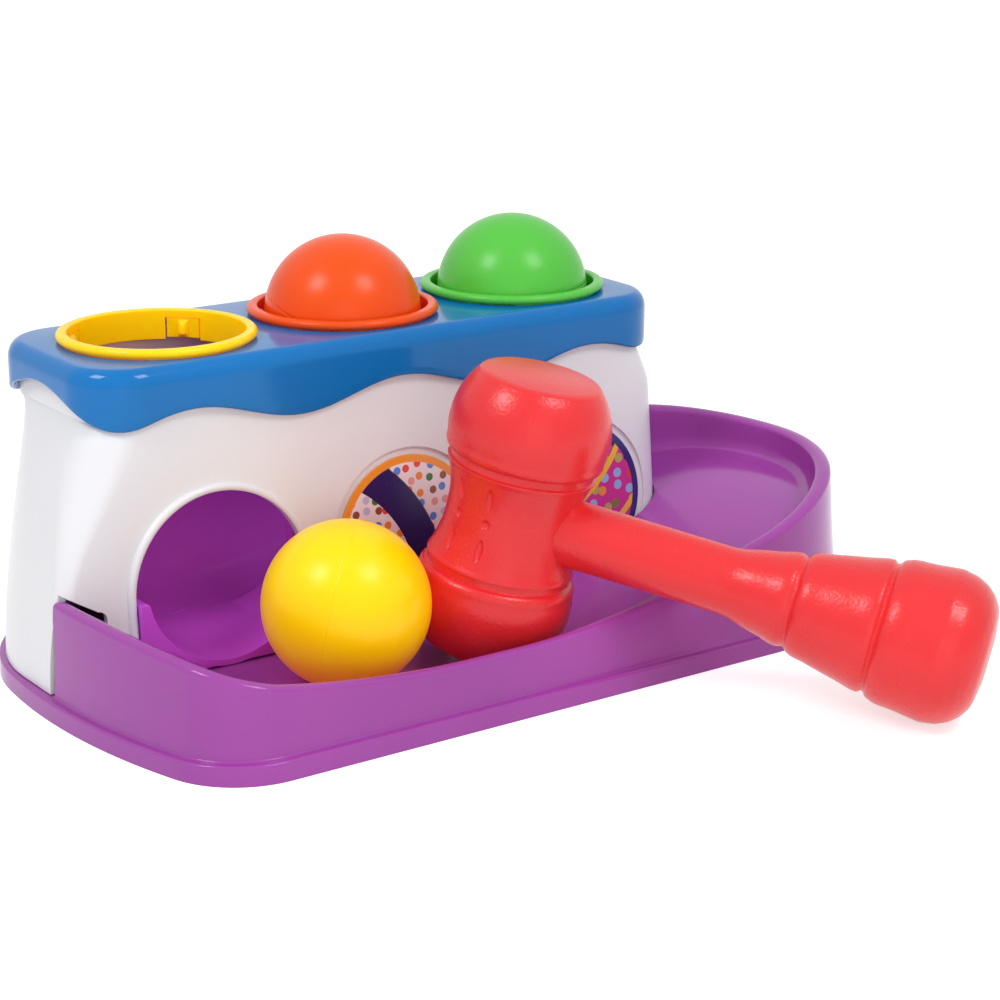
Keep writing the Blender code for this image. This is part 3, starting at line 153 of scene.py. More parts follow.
def draped_loft(name: str, rings: np.ndarray, level: Callable, stations: np.ndarray) -> bpy.types.Object:
    """A solid with a flat first end, whose last end follows a level that changes along X.

    The last ring's outline is filled with triangles that are held to lines of constant X.

    Args:
        name: the object's name.
        rings: an (m, n, 3) array, ring by ring.
        level: the height at an array of X.
        stations: the X of each line across.

    Returns:
        The new object.
    """
    rows, columns = rings.shape[:2]
    outline = rings[-1, :, :2]
    corners = [Vector(point) for point in outline.tolist()]
    lines = []
    ahead = np.roll(outline, -1, axis=0)
    first, last = outline[:, 0].min() + LINE_MARGIN, outline[:, 0].max() - LINE_MARGIN
    for x in stations[(stations > first) & (stations < last)]:
        meets = (outline[:, 0] - x) * (ahead[:, 0] - x) < 0
        run = (x - outline[meets, 0]) / (ahead[meets, 0] - outline[meets, 0])
        ys = outline[meets, 1] + (ahead[meets, 1] - outline[meets, 1]) * run
        lines.append((len(corners), len(corners) + 1))
        corners += [Vector((float(x), float(ys.min()) + LINE_INSET)),
                    Vector((float(x), float(ys.max()) - LINE_INSET))]
    found = delaunay_2d_cdt(corners, lines, [list(range(columns))], 1, MERGE)
    flat = np.array([tuple(corner) for corner in found[0]])
    origin = np.array([min(origins) if origins else columns for origins in found[3]])
    known = origin < columns
    places = np.where(known, (rows - 1) * columns + origin, rows * columns + np.cumsum(~known) - 1)
    inner = np.column_stack([flat[~known], level(flat[~known, 0])])
    faces = grid_faces(rows, columns, False) + [list(range(columns))[::-1]]
    faces += places[np.array(found[2])].tolist()
    return new_piece(name, np.vstack([rings.reshape(-1, 3), inner]), faces)


def turned_rings(profile: np.ndarray, steps: int) -> np.ndarray:
    """Turns a profile about Z: point (r, z) at turn t lies at (r cos t, r sin t, z).

    Args:
        profile: an (m, 2) array of radius and height.
        steps: how many turns make the circle.

    Returns:
        An (m, steps, 3) array.
    """
    profile = np.asarray(profile, dtype=float)
    turns = np.arange(steps) * (TURN / steps)
    radius = profile[:, 0, None]
    return np.stack([radius * np.cos(turns), radius * np.sin(turns),
                     np.repeat(profile[:, 1, None], steps, axis=1)], axis=-1)


def turned(name: str, profile: np.ndarray, steps: int, ring: bool = False) -> bpy.types.Object:
    """A turned solid, or a turned ring whose profile closes on itself."""
    return loft(name, turned_rings(profile, steps), ring)


def prism(name: str, outline: np.ndarray, low: float, high: float, axes: str = "xyz") -> bpy.types.Object:
    """An outline drawn out in a straight line.

    Args:
        name: the object's name.
        outline: an (n, 2) array along the first two axes.
        low: where it starts on the third axis.
        high: where it ends.
        axes: which world axes the outline's two and the third are.

    Returns:
        The new object.
    """
    outline = np.asarray(outline, dtype=float)
    rings = np.zeros((2, len(outline), 3))
    rings[:, :, "xyz".index(axes[0])] = outline[:, 0]
    rings[:, :, "xyz".index(axes[1])] = outline[:, 1]
    rings[:, :, "xyz".index(axes[2])] = np.array([[low], [high]])
    return loft(name, rings)


def place(piece: bpy.types.Object, matrix: Matrix) -> bpy.types.Object:
    """Moves a piece's points, so that its object stays at the origin."""
    piece.data.transform(matrix)
    return piece


def work(target: bpy.types.Object, tools: Sequence[tuple[bpy.types.Object, Tool]],
         sharp: float = SHARP) -> bpy.types.Object:
    """Cuts or joins solids, one after another, and keeps the finished mesh.

    Args:
        target: the solid to work on.
        tools: the other solids, each with what it does.
        sharp: edges bent more than this angle stay crisp.

    Returns:
        The target with its new mesh.
    """
    for tool, kind in tools:
        step = target.modifiers.new(tool.name, "BOOLEAN")
        step.operation = kind.value
        step.solver = "EXACT"
        step.object = tool
    bpy.context.view_layer.update()
    finished = bpy.data.meshes.new_from_object(target.evaluated_get(bpy.context.evaluated_depsgraph_get()))
    target.modifiers.clear()
    target.data = finished
    for tool, _ in tools:
        bpy.data.objects.remove(tool, do_unlink=True)
    finished.shade_smooth()
    finished.set_sharp_from_angle(angle=sharp)
    return target


def arc(centre: Sequence[float], radius: float, start: float, end: float, steps: int) -> np.ndarray:
    """Points (x, y) and outward directions (nx, ny) on an arc, both ends included.

    Args:
        centre: the arc's centre.
        radius: its radius.
        start: the first turn, in radians.
        end: the last turn.
        steps: how many steps lie between.

    Returns:
        A (steps + 1, 4) array.
    """
    turns = np.linspace(start, end, steps + 1)
    out = np.stack([np.cos(turns), np.sin(turns)], axis=1)
    return np.hstack([np.asarray(centre) + radius * out, out])


def straight(start: np.ndarray, end: np.ndarray, steps: int) -> np.ndarray:
    """Points between two ends, the ends left out, with the direction to their right.

    Args:
        start: the first end, whose first two values are its place.
        end: the last end.
        steps: how many steps lie between the ends.

    Returns:
        A (steps - 1, 4) array of points and directions.
    """
    run = end[:2] - start[:2]
    shares = (np.arange(1, steps) / steps)[:, None]
    out = np.array([run[1], -run[0]]) / np.hypot(*run)
    return np.hstack([start[:2] + run * shares, np.repeat(out[None], steps - 1, axis=0)])


def rounded_box(left: float, right: float, front: float, back: float, corners: Sequence[float],
                arc_steps: int, long_steps: int, end_steps: int) -> np.ndarray:
    """A rounded rectangle's points and outward directions, anticlockwise from front left.

    Args:
        left: lowest x.
        right: highest x.
        front: lowest y.
        back: highest y.
        corners: the four corner radii, from front left.
        arc_steps: steps in each corner.
        long_steps: steps along the front and back.
        end_steps: steps along the ends.

    Returns:
        An (n, 4) array.
    """
    front_left, front_right, back_right, back_left = corners
    centres = ((left + front_left, front + front_left), (right - front_right, front + front_right),
               (right - back_right, back - back_right), (left + back_left, back - back_left))
    arcs = [arc(centres[i], corners[i], math.pi * (1 + i / 2), math.pi * (1.5 + i / 2), arc_steps)
            for i in range(4)]
    parts = []
    for i in range(4):
        parts += [arcs[i], straight(arcs[i][-1], arcs[(i + 1) % 4][0], end_steps if i % 2 else long_steps)]
    return np.vstack(parts)


def smooth_step(share: np.ndarray | float) -> np.ndarray:
    """Eases from 0 to 1: three squares less two cubes of the share."""
    share = np.clip(share, 0.0, 1.0)
    return share * share * (3.0 - 2.0 * share)


def corner_path(radius: float, steps: int) -> np.ndarray:
    """A quarter circle from its own start as lengths (across, up), first upright and then level."""
    turns = np.linspace(0.0, math.pi / 2, steps + 1)
    return radius * np.stack([1 - np.cos(turns), np.sin(turns)], axis=1)


def inset_rings(outline: np.ndarray, rows: Sequence[tuple[np.ndarray, np.ndarray]]) -> np.ndarray:
    """Rings round an outline: ring k lies inset by row k's depths and at row k's heights.

    Args:
        outline: an (n, 4) array of points and outward directions.
        rows: for each ring, its depth and its height at every point of the outline.

    Returns:
        An (m, n, 3) array.
    """
    depths = np.stack([row[0] for row in rows])
    heights = np.stack([row[1] for row in rows])
    across = outline[None, :, :2] - outline[None, :, 2:] * depths[:, :, None]
    return np.concatenate([across, heights[:, :, None]], axis=2)


def clip(points: np.ndarray, axis: int, limit: float, sign: int) -> np.ndarray:
    """Cuts a closed outline along a line of constant X or Y.

    Args:
        points: an (n, 2) array.
        axis: 0 for a line of constant X, 1 for Y.
        limit: where the line lies.
        sign: 1 keeps what lies above it, -1 what lies below.

    Returns:
        The clipped outline, with the crossing points worked out on its edges.
    """
    ahead = np.roll(points, -1, axis=0)
    inside = sign * (points[:, axis] - limit) >= 0
    crossing = inside != np.roll(inside, -1)
    run = ahead[:, axis] - points[:, axis]
    share = np.divide(limit - points[:, axis], run, out=np.zeros_like(run), where=run != 0)
    cuts = points + (ahead - points) * share[:, None]
    both = np.stack([points, cuts], axis=1).reshape(-1, 2)
    keep = np.stack([inside, crossing], axis=1).reshape(-1)
    return both[keep]


def thinned(points: np.ndarray) -> np.ndarray:
    """Leaves out an outline's points that fall almost together."""
    gap = np.linalg.norm(np.roll(points, -1, axis=0) - points, axis=1)
    return points[gap > TWIN_GAP]


# Finishes

class Nodes:
    """The node tree of a material or a world, with short calls for the nodes used here."""

    def __init__(self, owner: bpy.types.Material | bpy.types.World) -> None:
        """Takes a new tree in hand.

        Args:
            owner: the material or world that the nodes belong to.
        """
        owner.use_nodes = True
        self.owner = owner
        self.tree = owner.node_tree
        self.shader = self.tree.nodes.get("Principled BSDF")
        self.coords: bpy.types.NodeSocket | None = None

    def add(self, kind: str, inputs: dict | None = None, **settings: object) -> bpy.types.Node:
        """Adds a node, sets it and wires its inputs.

        Args:
            kind: the node's type without its ShaderNode prefix.
            inputs: values or sockets by input name or index.
            **settings: the node's own properties.

        Returns:
            The new node.
        """
        node = self.tree.nodes.new("ShaderNode" + kind)
        for key, value in settings.items():
            setattr(node, key, value)
        for key, value in (inputs or {}).items():
            if isinstance(value, bpy.types.NodeSocket):
                self.tree.links.new(value, node.inputs[key])
            else:
                node.inputs[key].default_value = value
        return node

    def maths(self, operation: str, first: object, second: object,
              clamp: bool = False) -> bpy.types.NodeSocket:
        """The result of a Math node on two values or sockets."""
        return self.add("Math", {0: first, 1: second}, operation=operation, use_clamp=clamp).outputs[0]

    def noise(self, scale: float, detail: float) -> bpy.types.NodeSocket:
        """Noise on object coordinates.

        Args:
            scale: waves per metre.
            detail: how many finer layers it has.

        Returns:
            The noise's value, around a half.
        """
        if self.coords is None:
            self.coords = self.add("TexCoord").outputs["Object"]
        return self.add("TexNoise", {"Vector": self.coords, "Scale": scale, "Detail": detail}).outputs[0]

    def between(self, value: object, low: float, high: float, to_low: float,
                to_high: float) -> bpy.types.NodeSocket:
        """Maps a range onto another, held at its ends."""
        return self.add("MapRange", {0: value, 1: low, 2: high, 3: to_low, 4: to_high}).outputs[0]

    def mix(self, share: object, first: object, second: object) -> bpy.types.NodeSocket:
        """Mixes two colours: the first times one less the share, plus the second times the share."""
        return self.add("Mix", {0: share, 6: first, 7: second}, data_type="RGBA").outputs[2]

    def seen(self) -> bpy.types.NodeSocket:
        """1 for what the camera, gloss or glass looks at, and 0 for the light that falls on things."""
        rays = self.add("LightPath").outputs
        mirrored = self.maths("ADD", rays["Is Glossy Ray"], rays["Is Transmission Ray"])
        return self.maths("ADD", rays["Is Camera Ray"], mirrored, clamp=True)

    def wire(self, value: object, name: str) -> None:
        """Links a socket to the shader's input of that name."""
        self.tree.links.new(value, self.shader.inputs[name])

    def put(self, values: dict[str, object]) -> None:
        """Sets the shader's own values by name."""
        for name, value in values.items():
            self.shader.inputs[name].default_value = value


def solid(colour: Sequence[float]) -> tuple[float, float, float, float]:
    """A colour with full cover."""
    return (*colour, 1.0)


@dataclass(frozen=True)
class Plastic:
    """A moulded plastic: its colour drifts a little, its gloss is uneven, and it has a fine skin.

    Fields are the linear colour, roughness, how far the colour drifts, the skin's depth and
    grain, how unevenly it is rubbed, how strongly it mirrors, how much light scatters inside
    and how far each colour of it goes, and a glow that is painted warm light in the shade.
    Then come the drift's waves per metre and the part of their noise that it uses, the rubbed
    patches' waves per metre, the noises' finer layers, the skin's strength and the scattered
    light's reach.
    """

    slot: str
    colour: tuple[float, float, float]
    roughness: float
    drift: float = 0.06
    skin_depth: float = 0.00002
    skin_grain: float = 900.0
    rub: float = 0.12
    mirror: float = 0.5
    scatter: float = 0.0
    warmth: tuple[float, float, float] = (1.0, 1.0, 1.0)
    painted_glow: tuple[float, float, float] = (0.0, 0.0, 0.0)
    cloud_scale: float = 14.0
    cloud_range: tuple[float, float] = (0.35, 0.65)
    rub_scale: float = 60.0
    detail: float = 2.0
    skin_strength: float = 0.35
    scatter_reach: float = 0.006

    def build(self) -> bpy.types.Material:
        """Makes the material.

        Returns:
            The new material, named after its slot.
        """
        nodes = Nodes(bpy.data.materials.new(self.slot))
        cloud = nodes.between(nodes.noise(self.cloud_scale, self.detail), *self.cloud_range, 0.0, 1.0)
        dark = tuple(c * (1 - self.drift) for c in self.colour)
        light = tuple(min(1.0, c * (1 + self.drift)) for c in self.colour)
        nodes.wire(nodes.mix(cloud, solid(dark), solid(light)), "Base Color")
        low, high = self.roughness * (1 - self.rub), self.roughness * (1 + self.rub)
        rubbed = nodes.noise(self.rub_scale, self.detail)
        nodes.wire(nodes.between(rubbed, 0.0, 1.0, low, high), "Roughness")
        skin = nodes.add("Bump", {"Height": nodes.noise(self.skin_grain, self.detail),
                                  "Strength": self.skin_strength, "Distance": self.skin_depth})
        nodes.wire(skin.outputs[0], "Normal")
        # The emission is painted light: a faint warm glow that lifts the shaded sides, not a lamp.
        nodes.put({"Specular IOR Level": self.mirror, "Emission Color": solid(self.painted_glow),
                   "Emission Strength": 1.0})
        if self.scatter:
            nodes.put({"Subsurface Weight": self.scatter, "Subsurface Radius": self.warmth,
                       "Subsurface Scale": self.scatter_reach})
        return nodes.owner


@dataclass(frozen=True)
class Zinc:
    """Zinc-plated steel with a fine turned grain."""

    slot: str = "zinc_steel"
    dark: tuple[float, float, float] = (0.42, 0.42, 0.44)
    light: tuple[float, float, float] = (0.62, 0.62, 0.61)
    grain_scale: float = 1500.0
    grain_detail: float = 3.0
    grain_range: tuple[float, float] = (0.3, 0.7)
    smooth: float = 0.28
    rough: float = 0.42

    def build(self) -> bpy.types.Material:
        """Makes the material.

        Returns:
            The new material.
        """
        nodes = Nodes(bpy.data.materials.new(self.slot))
        grain = nodes.noise(self.grain_scale, self.grain_detail)
        nodes.wire(nodes.mix(grain, solid(self.dark), solid(self.light)), "Base Color")
        nodes.wire(nodes.between(grain, *self.grain_range, self.smooth, self.rough), "Roughness")
        nodes.put({"Metallic": 1.0})
        return nodes.owner


PURPLE = Plastic("purple_plastic", (0.35, 0.056, 0.36), 0.15, skin_depth=0.00001, mirror=0.36)
# The chute's purple is a paler copy of the tray's: painted light, standing in for light that reaches it inside
# the housing.
CHUTE_PURPLE_PAINTED_LIGHT = Plastic("purple_plastic", (0.66, 0.095, 0.78), 0.14, skin_depth=0.00001)
WHITE = Plastic("white_plastic", (0.80, 0.80, 0.83), 0.28, drift=0.004, skin_depth=0.000006, rub=0.02,
                scatter=0.05)
BLUE = Plastic("blue_plastic", (0.0, 0.17, 0.51), 0.11, skin_depth=0.00001, mirror=0.28)
# Yellow and orange carry a small emission: painted warm light in their shaded sides and hollows.
YELLOW = Plastic("yellow_plastic", (1.0, 0.69, 0.0), 0.30, mirror=0.28, scatter=0.5, warmth=(1.0, 0.35, 0.05),
                 painted_glow=(0.20, 0.03, 0.0))
ORANGE = Plastic("orange_plastic", (0.88, 0.086, 0.004), 0.28, mirror=0.26, scatter=0.1, painted_glow=(0.03, 0.0, 0.0))
GREEN = Plastic("green_plastic", (0.10, 0.57, 0.06), 0.28, mirror=0.3, scatter=0.1)
RED = Plastic("red_plastic", (0.77, 0.024, 0.029), 0.28, skin_depth=0.0003, mirror=0.42)


class Paints:
    """Makes each finish once and hands it out."""

    def __init__(self) -> None:
        """Starts with no material made."""
        self.made: dict[str, bpy.types.Material] = {}

    def on(self, piece: bpy.types.Object, finish: object) -> bpy.types.Object:
        """Gives a piece a finish.

        Args:
            piece: the piece to dress.
            finish: a finish with a slot and a build method.

        Returns:
            The piece.
        """
        key = repr(finish)
        if key not in self.made:
            self.made[key] = finish.build()
        piece.data.materials.clear()
        piece.data.materials.append(self.made[key])
        return piece


PAINTS = Paints()


def dress(piece: bpy.types.Object, finish: object, body: str, *nodes: str) -> bpy.types.Object:
    """Finishes a piece, hangs it on a body and lets it stand for its solids.

    Args:
        piece: the piece.
        finish: its finish.
        body: the body that it rides on.
        *nodes: the solids that it stands for.

    Returns:
        The piece.
    """
    PAINTS.on(piece, finish)
    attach(piece, body)
    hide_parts(*nodes)
    LOG.info("%s: %d faces on %s", piece.name, len(piece.data.polygons), body)
    return piece


# Sizes that several sub-assemblies share

@dataclass(frozen=True)
class Bench:
    """Places that the housing, lid, rings and balls all work from."""

    pitch: float = 66.3 * MM
    ball_radius: float = 25.0 * MM
    lid_height: float = 98.5 * MM
    lid_plate: float = 2.5 * MM
    plinth: float = 6.0 * MM
    tray_floor: float = 5.5 * MM
    bore: float = 27.1 * MM
    tube: float = 29.0 * MM
    collar_top: float = 101.5 * MM
    collar_foot: float = 91.9 * MM
    collar_seat: float = 98.8 * MM
    seated_ball: float = 98.2 * MM
    finger_count: int = 4
    finger_first: float = math.pi / 4
    finger_half_width: float = math.radians(11.5)
    shell_wall: float = 2.2 * MM
    boss_radius: float = 4.6 * MM
    boss_height: float = 15.0 * MM
    pilot_radius: float = 1.6 * MM
    pilot_depth: float = 11.0 * MM
    screw_room: float = 1.9 * MM
    chute_screw_x: tuple = (-2.0 * MM, 58.0 * MM)
    picture_height: float = 33.6 * MM
    picture_radius: float = 25.5 * MM

    def finger_turns(self) -> list[float]:
        """The fingers' directions round a ring, evenly spaced from the first."""
        return [self.finger_first + i * TURN / self.finger_count for i in range(self.finger_count)]


BENCH = Bench()


@dataclass(frozen=True)
class ShellForm:
    """The housing's flared outline, as a function of height.

    The flare share f falls from 1 at the foot to 0 at the shoulder. The front and back lean
    out with f to the power 0.8, the left end swells with the same power of the sine of a
    quarter turn of f, and the right end leans a little and tucks in under the lid. Towards
    the foot the front left corner tightens, and the back left one grows with that sine's root.
    """

    shoulder: float = 82.0 * MM
    left: float = 102.5 * MM
    left_flare: float = 20.8 * MM
    half_depth: float = 33.0 * MM
    front_flare: float = 7.0 * MM
    back_flare: float = 7.5 * MM
    right: float = 104.9 * MM
    right_flare: float = 0.65 * MM
    tuck: float = 4.1 * MM
    tuck_height: float = 16.0 * MM
    corner: float = 15.0 * MM
    corner_tuck: float = 9.5 * MM
    corner_start: float = 0.1
    corner_rate: float = 2.0
    back_growth: float = 42.0 * MM
    power: float = 0.8

    def flare(self, height: float) -> float:
        """The share of the flare at a height."""
        return min(max((self.shoulder - height) / (self.shoulder - BENCH.plinth), 0.0), 1.0)

    def front(self, height: float) -> float:
        """Y of the front face at a height."""
        return -(self.half_depth + self.front_flare * self.flare(height) ** self.power)

    def outline(self, height: float, grown: float = 0.0, arc_steps: int = 20, long_steps: int = 40,
                end_steps: int = 10) -> np.ndarray:
        """The outline at a height, grown outwards or shrunk.

        Args:
            height: the level.
            grown: how far it lies outside the wall's outer face.
            arc_steps: steps in each corner.
            long_steps: steps along the front and back.
            end_steps: steps along the ends.

        Returns:
            An (n, 4) array of points and outward directions.
        """
        share = self.flare(height)
        turn = math.sin(share * math.pi / 2)
        tuck = float(smooth_step((height - self.shoulder + self.tuck_height) / self.tuck_height))
        tight = float(smooth_step((share - self.corner_start) * self.corner_rate))
        near = self.corner - self.corner_tuck * tight
        corners = [near, self.corner, self.corner, self.corner + self.back_growth * math.sqrt(turn)]
        return rounded_box(-(self.left + self.left_flare * turn ** self.power) - grown,
                           self.right + self.right_flare * share - self.tuck * tuck + grown,
                           self.front(height) - grown,
                           self.half_depth + self.back_flare * share ** self.power + grown,
                           [corner + grown for corner in corners], arc_steps, long_steps, end_steps)

    def rings(self, grown: float, heights: Sequence[float]) -> np.ndarray:
        """Rings of the outline at several heights.

        Args:
            grown: how far they lie outside the wall's outer face.
            heights: the level of each ring.

        Returns:
            An (m, n, 3) array.
        """
        found = []
        for height in heights:
            flat = self.outline(height, grown)[:, :2]
            found.append(np.hstack([flat, np.full((len(flat), 1), height)]))
        return np.stack(found)


SHELL = ShellForm()


def cylinder(name: str, x: float, y: float, low: float, high: float, radius: float,
             steps: int = 40) -> bpy.types.Object:
    """An upright cylinder."""
    return place(turned(name, np.array([(radius, low), (radius, high)]), steps),
                 Matrix.Translation((x, y, 0.0)))


# Tray

@dataclass
class Tray:
    """The purple tray: a plinth, a wall that rises at both ends and a floor that climbs to the right.

    The sizes after the wall's end are the room for the housing, the pockets and deep hollows
    underneath, the pads round the screws and the stepped holes that the screws sit in.
    """

    front: float = 117.0 * MM
    back: float = 44.0 * MM
    end_x: float = 83.9 * MM
    end_back: float = 15.0 * MM
    front_corner: float = 27.0 * MM
    front_corner_x: float = -90.68 * MM
    back_corner: float = 60.0 * MM
    back_corner_x: float = -65.08 * MM
    bow: float = 217.0 * MM
    plinth_right: float = 108.55 * MM
    plinth_corner: float = 18.0 * MM
    ledge: float = 3.0 * MM
    plinth_edge: float = 0.8 * MM
    foot_round: float = 0.7 * MM
    wall: float = 4.0 * MM
    wall_gain: float = 1.5 * MM
    draft: float = 0.066
    rim_round: float = 1.8 * MM
    fillet: float = 4.0 * MM
    rim_low: float = 20.0 * MM
    rim_left: float = 34.3 * MM
    rim_right: float = 51.5 * MM
    rim_left_x: float = -25.0 * MM
    rim_right_x: float = -10.0 * MM
    left_reach: float = 100.0 * MM
    right_reach: float = 183.0 * MM
    left_power: float = 2.1
    rise: float = 33.5 * MM
    rise_x: float = 29.0 * MM
    rise_run: float = 112.0 * MM
    wall_end_x: float = 98.0 * MM
    wall_end_y: float = 10.0 * MM
    housing_plane: float = 35.3 * MM
    pocket_depth: float = 3.0 * MM
    pocket_margin: float = 9.0 * MM
    pocket_rib: float = 6.0 * MM
    pocket_columns: int = 4
    pocket_rows: int = 2
    hollow_inset: float = 0.5 * MM
    hollow_start: float = 49.0 * MM
    hollow_back: float = -44.6 * MM
    hollow_left: float = 110.15 * MM
    hollow_skin: float = 2.8 * MM
    pad_radius: float = 7.0 * MM
    foot_pad_radius: float = 9.0 * MM
    sink_radius: float = 4.2 * MM
    sink_height: float = 2.8 * MM
    hole_height: float = 7.0 * MM
    screw_spots: tuple = ()

    def outline(self, corner_steps: int = 28, front_steps: int = 120, end_steps: int = 120,
                back_steps: int = 12) -> np.ndarray:
        """The plinth's outline: straight front, round right end, straight back, bowed left end.

        The round end runs into the plinth under the housing's right side. The bow is an arc
        round both left corner circles that touches them, so its centre lies at the bow's
        radius less each corner's radius from their centres.

        Args:
            corner_steps: steps in each left corner, and half as many as in the bow.
            front_steps: steps along the front.
            end_steps: steps round the right end.
            back_steps: steps in the plinth's corner and along the back.

        Returns:
            An (n, 4) array of points and outward directions.
        """
        near = Vector((self.front_corner_x, self.front_corner - self.front))
        far = Vector((self.back_corner_x, self.back - self.back_corner))
        reach_near = self.bow - self.front_corner
        reach_far = self.bow - self.back_corner
        between = far - near
        along = (reach_near ** 2 - reach_far ** 2 + between.length_squared) / (2 * between.length)
        aside = math.sqrt(reach_near ** 2 - along ** 2)
        unit = between.normalized()
        centre = near + unit * along + Vector((unit.y, -unit.x)) * aside
        turn_near = math.atan2(near.y - centre.y, near.x - centre.x) % TURN
        turn_far = math.atan2(far.y - centre.y, far.x - centre.x) % TURN
        middle = (self.end_x, (self.end_back - self.front) / 2)
        radius = (self.front + self.end_back) / 2
        front = arc(near, self.front_corner, turn_near, 0.75 * TURN, corner_steps)
        end_turn = math.acos((self.plinth_right - self.end_x) / radius)
        end = arc(middle, radius, -0.25 * TURN, end_turn, end_steps)
        plinth = arc((self.plinth_right - self.plinth_corner, self.back - self.plinth_corner),
                     self.plinth_corner, 0.0, 0.25 * TURN, back_steps)
        back = arc(far, self.back_corner, 0.25 * TURN, turn_far, corner_steps)
        bow = arc(centre, self.bow, turn_far, turn_near, corner_steps * 2)
        return np.vstack([front, straight(front[-1], end[0], front_steps), end,
                          straight(end[-1], plinth[0], 3), plinth,
                          straight(plinth[-1], back[0], back_steps), back, bow[1:-1]])

    def rim(self, x: np.ndarray, y: np.ndarray) -> np.ndarray:
        """Height of the rim: eased up to the right and on round the end, and a power to the left.

        Args:
            x: places along the bench.
            y: places across it, which tell the front from the back of the round end.

        Returns:
            The height at each place.
        """
        behind = self.end_x * 2 + self.front + self.end_back - x
        along = np.where(y < (self.end_back - self.front) / 2, x, behind)
        right = self.rim_low + (self.rim_right - self.rim_low) * smooth_step(
            (along - self.rim_right_x) / self.right_reach)
        share = np.clip((self.rim_left_x - x) / self.left_reach, 0.0, 1.0)
        left = self.rim_low + (self.rim_left - self.rim_low) * share ** self.left_power
        return np.where(x < self.rim_left_x, left, right)

    def floor(self, x: np.ndarray) -> np.ndarray:
        """Height of the floor, eased up towards the right end."""
        return BENCH.tray_floor + self.rise * smooth_step((np.asarray(x) - self.rise_x) / self.rise_run)

    def roof(self, x: np.ndarray) -> np.ndarray:
        """Height of the hollows' roof under the raised floor."""
        return self.floor(x) - self.hollow_skin

    def body(self) -> bpy.types.Object:
        """The plinth, ledge, leaning wall, round rim and climbing floor as one skin.

        The skin is a stack of rings, each inset from the outline and held at its own height.

        Returns:
            The tray before anything is cut from it.
        """
        outline = self.outline()
        rim = self.rim(outline[:, 0], outline[:, 1])
        lean = (rim - BENCH.plinth) * self.draft
        wall = self.wall + self.wall_gain * (rim - self.rim_low) / (self.rim_right - self.rim_low)
        flat = np.ones(len(outline))
        quarters = (0.25, 0.5, 0.75)
        rows: list[tuple[np.ndarray, np.ndarray]] = [(0.0 * flat, 0.0 * flat)]
        for across, up in corner_path(self.plinth_edge, 4):
            rows.append((across * flat, (BENCH.plinth - self.plinth_edge + up) * flat))
        for across, up in corner_path(self.foot_round, 3)[::-1]:
            rows.append(((self.ledge - across) * flat, (BENCH.plinth + self.foot_round - up) * flat))
        rise = rim - self.rim_round - BENCH.plinth - self.foot_round
        for share in quarters:
            rows.append((self.ledge + lean * share, BENCH.plinth + self.foot_round + rise * share))
        for turn in np.linspace(0.0, math.pi, 17):
            rows.append((self.ledge + lean + wall / 2 * (1 - math.cos(turn)),
                         rim - self.rim_round * (1 - math.sin(turn))))
        inner = self.ledge + lean + wall
        foot = self.floor(outline[:, 0] - outline[:, 2] * inner) + self.fillet
        for share in quarters:
            rows.append((inner, (rim - self.rim_round) * (1 - share) + foot * share))
        for turn in np.linspace(0.0, math.pi / 2, 9):
            depth = inner + self.fillet * (1 - math.cos(turn))
            floor = self.floor(outline[:, 0] - outline[:, 2] * depth)
            rows.append((depth, floor + self.fillet * (1 - math.sin(turn))))
        return draped_loft("moulded_tray", inset_rings(outline, rows), self.floor, self.stations(57))

    def stations(self, count: int) -> np.ndarray:
        """Evenly spaced places along the climbing part of the floor."""
        return np.linspace(self.rise_x, self.rise_x + self.rise_run, count)

    def pocket(self, edge: np.ndarray, column: int, row: int, rib: float) -> np.ndarray:
        """The part of an edge that belongs to one pocket, with half a rib left at each inner side.

        Args:
            edge: an (n, 2) outline.
            column: the pocket's place along X.
            row: its place along Y.
            rib: the ribs' thickness.

        Returns:
            The pocket's outline.
        """
        outline = edge
        for axis, index, count in ((0, column, self.pocket_columns), (1, row, self.pocket_rows)):
            low, high = edge[:, axis].min(), edge[:, axis].max()
            step = (high - low) / count
            start = low + step * index + (rib / 2 if index else 0.0)
            end = low + step * (index + 1) - (rib / 2 if index < count - 1 else 0.0)
            outline = clip(clip(outline, axis, start, 1), axis, end, -1)
        return outline

    def pockets(self) -> list[bpy.types.Object]:
        """Hollows under the tray: shallow ones everywhere and deep ones under the raised floor.

        Returns:
            The solids to cut away.
        """
        found = []
        outline = self.outline(8, 6, 24, 3)
        edge = thinned(outline[:, :2] - outline[:, 2:] * self.pocket_margin)
        tight = thinned(outline[:, :2] - outline[:, 2:] * (self.pocket_margin + self.hollow_inset))
        for column in range(self.pocket_columns):
            for row in range(self.pocket_rows):
                name = f"pocket_{column}_{row}"
                shallow = self.pocket(edge, column, row, self.pocket_rib)
                found.append(prism(name, shallow, -OVERRUN, self.pocket_depth))
                rib = self.pocket_rib + self.hollow_inset * 2
                deep = clip(self.pocket(tight, column, row, rib), 0, self.hollow_start, 1)
                if len(deep):
                    axis, limit, sign = (0, self.hollow_left, 1) if row else (1, self.hollow_back, -1)
                    deep = clip(deep, axis, limit, sign)
                if len(deep):
                    low = np.column_stack([deep, np.full(len(deep), -OVERRUN)])
                    high = np.column_stack([deep, self.roof(deep[:, 0])])
                    rings = np.stack([low, high])
                    found.append(draped_loft("deep_" + name, rings, self.roof, self.stations(15)))
        return found

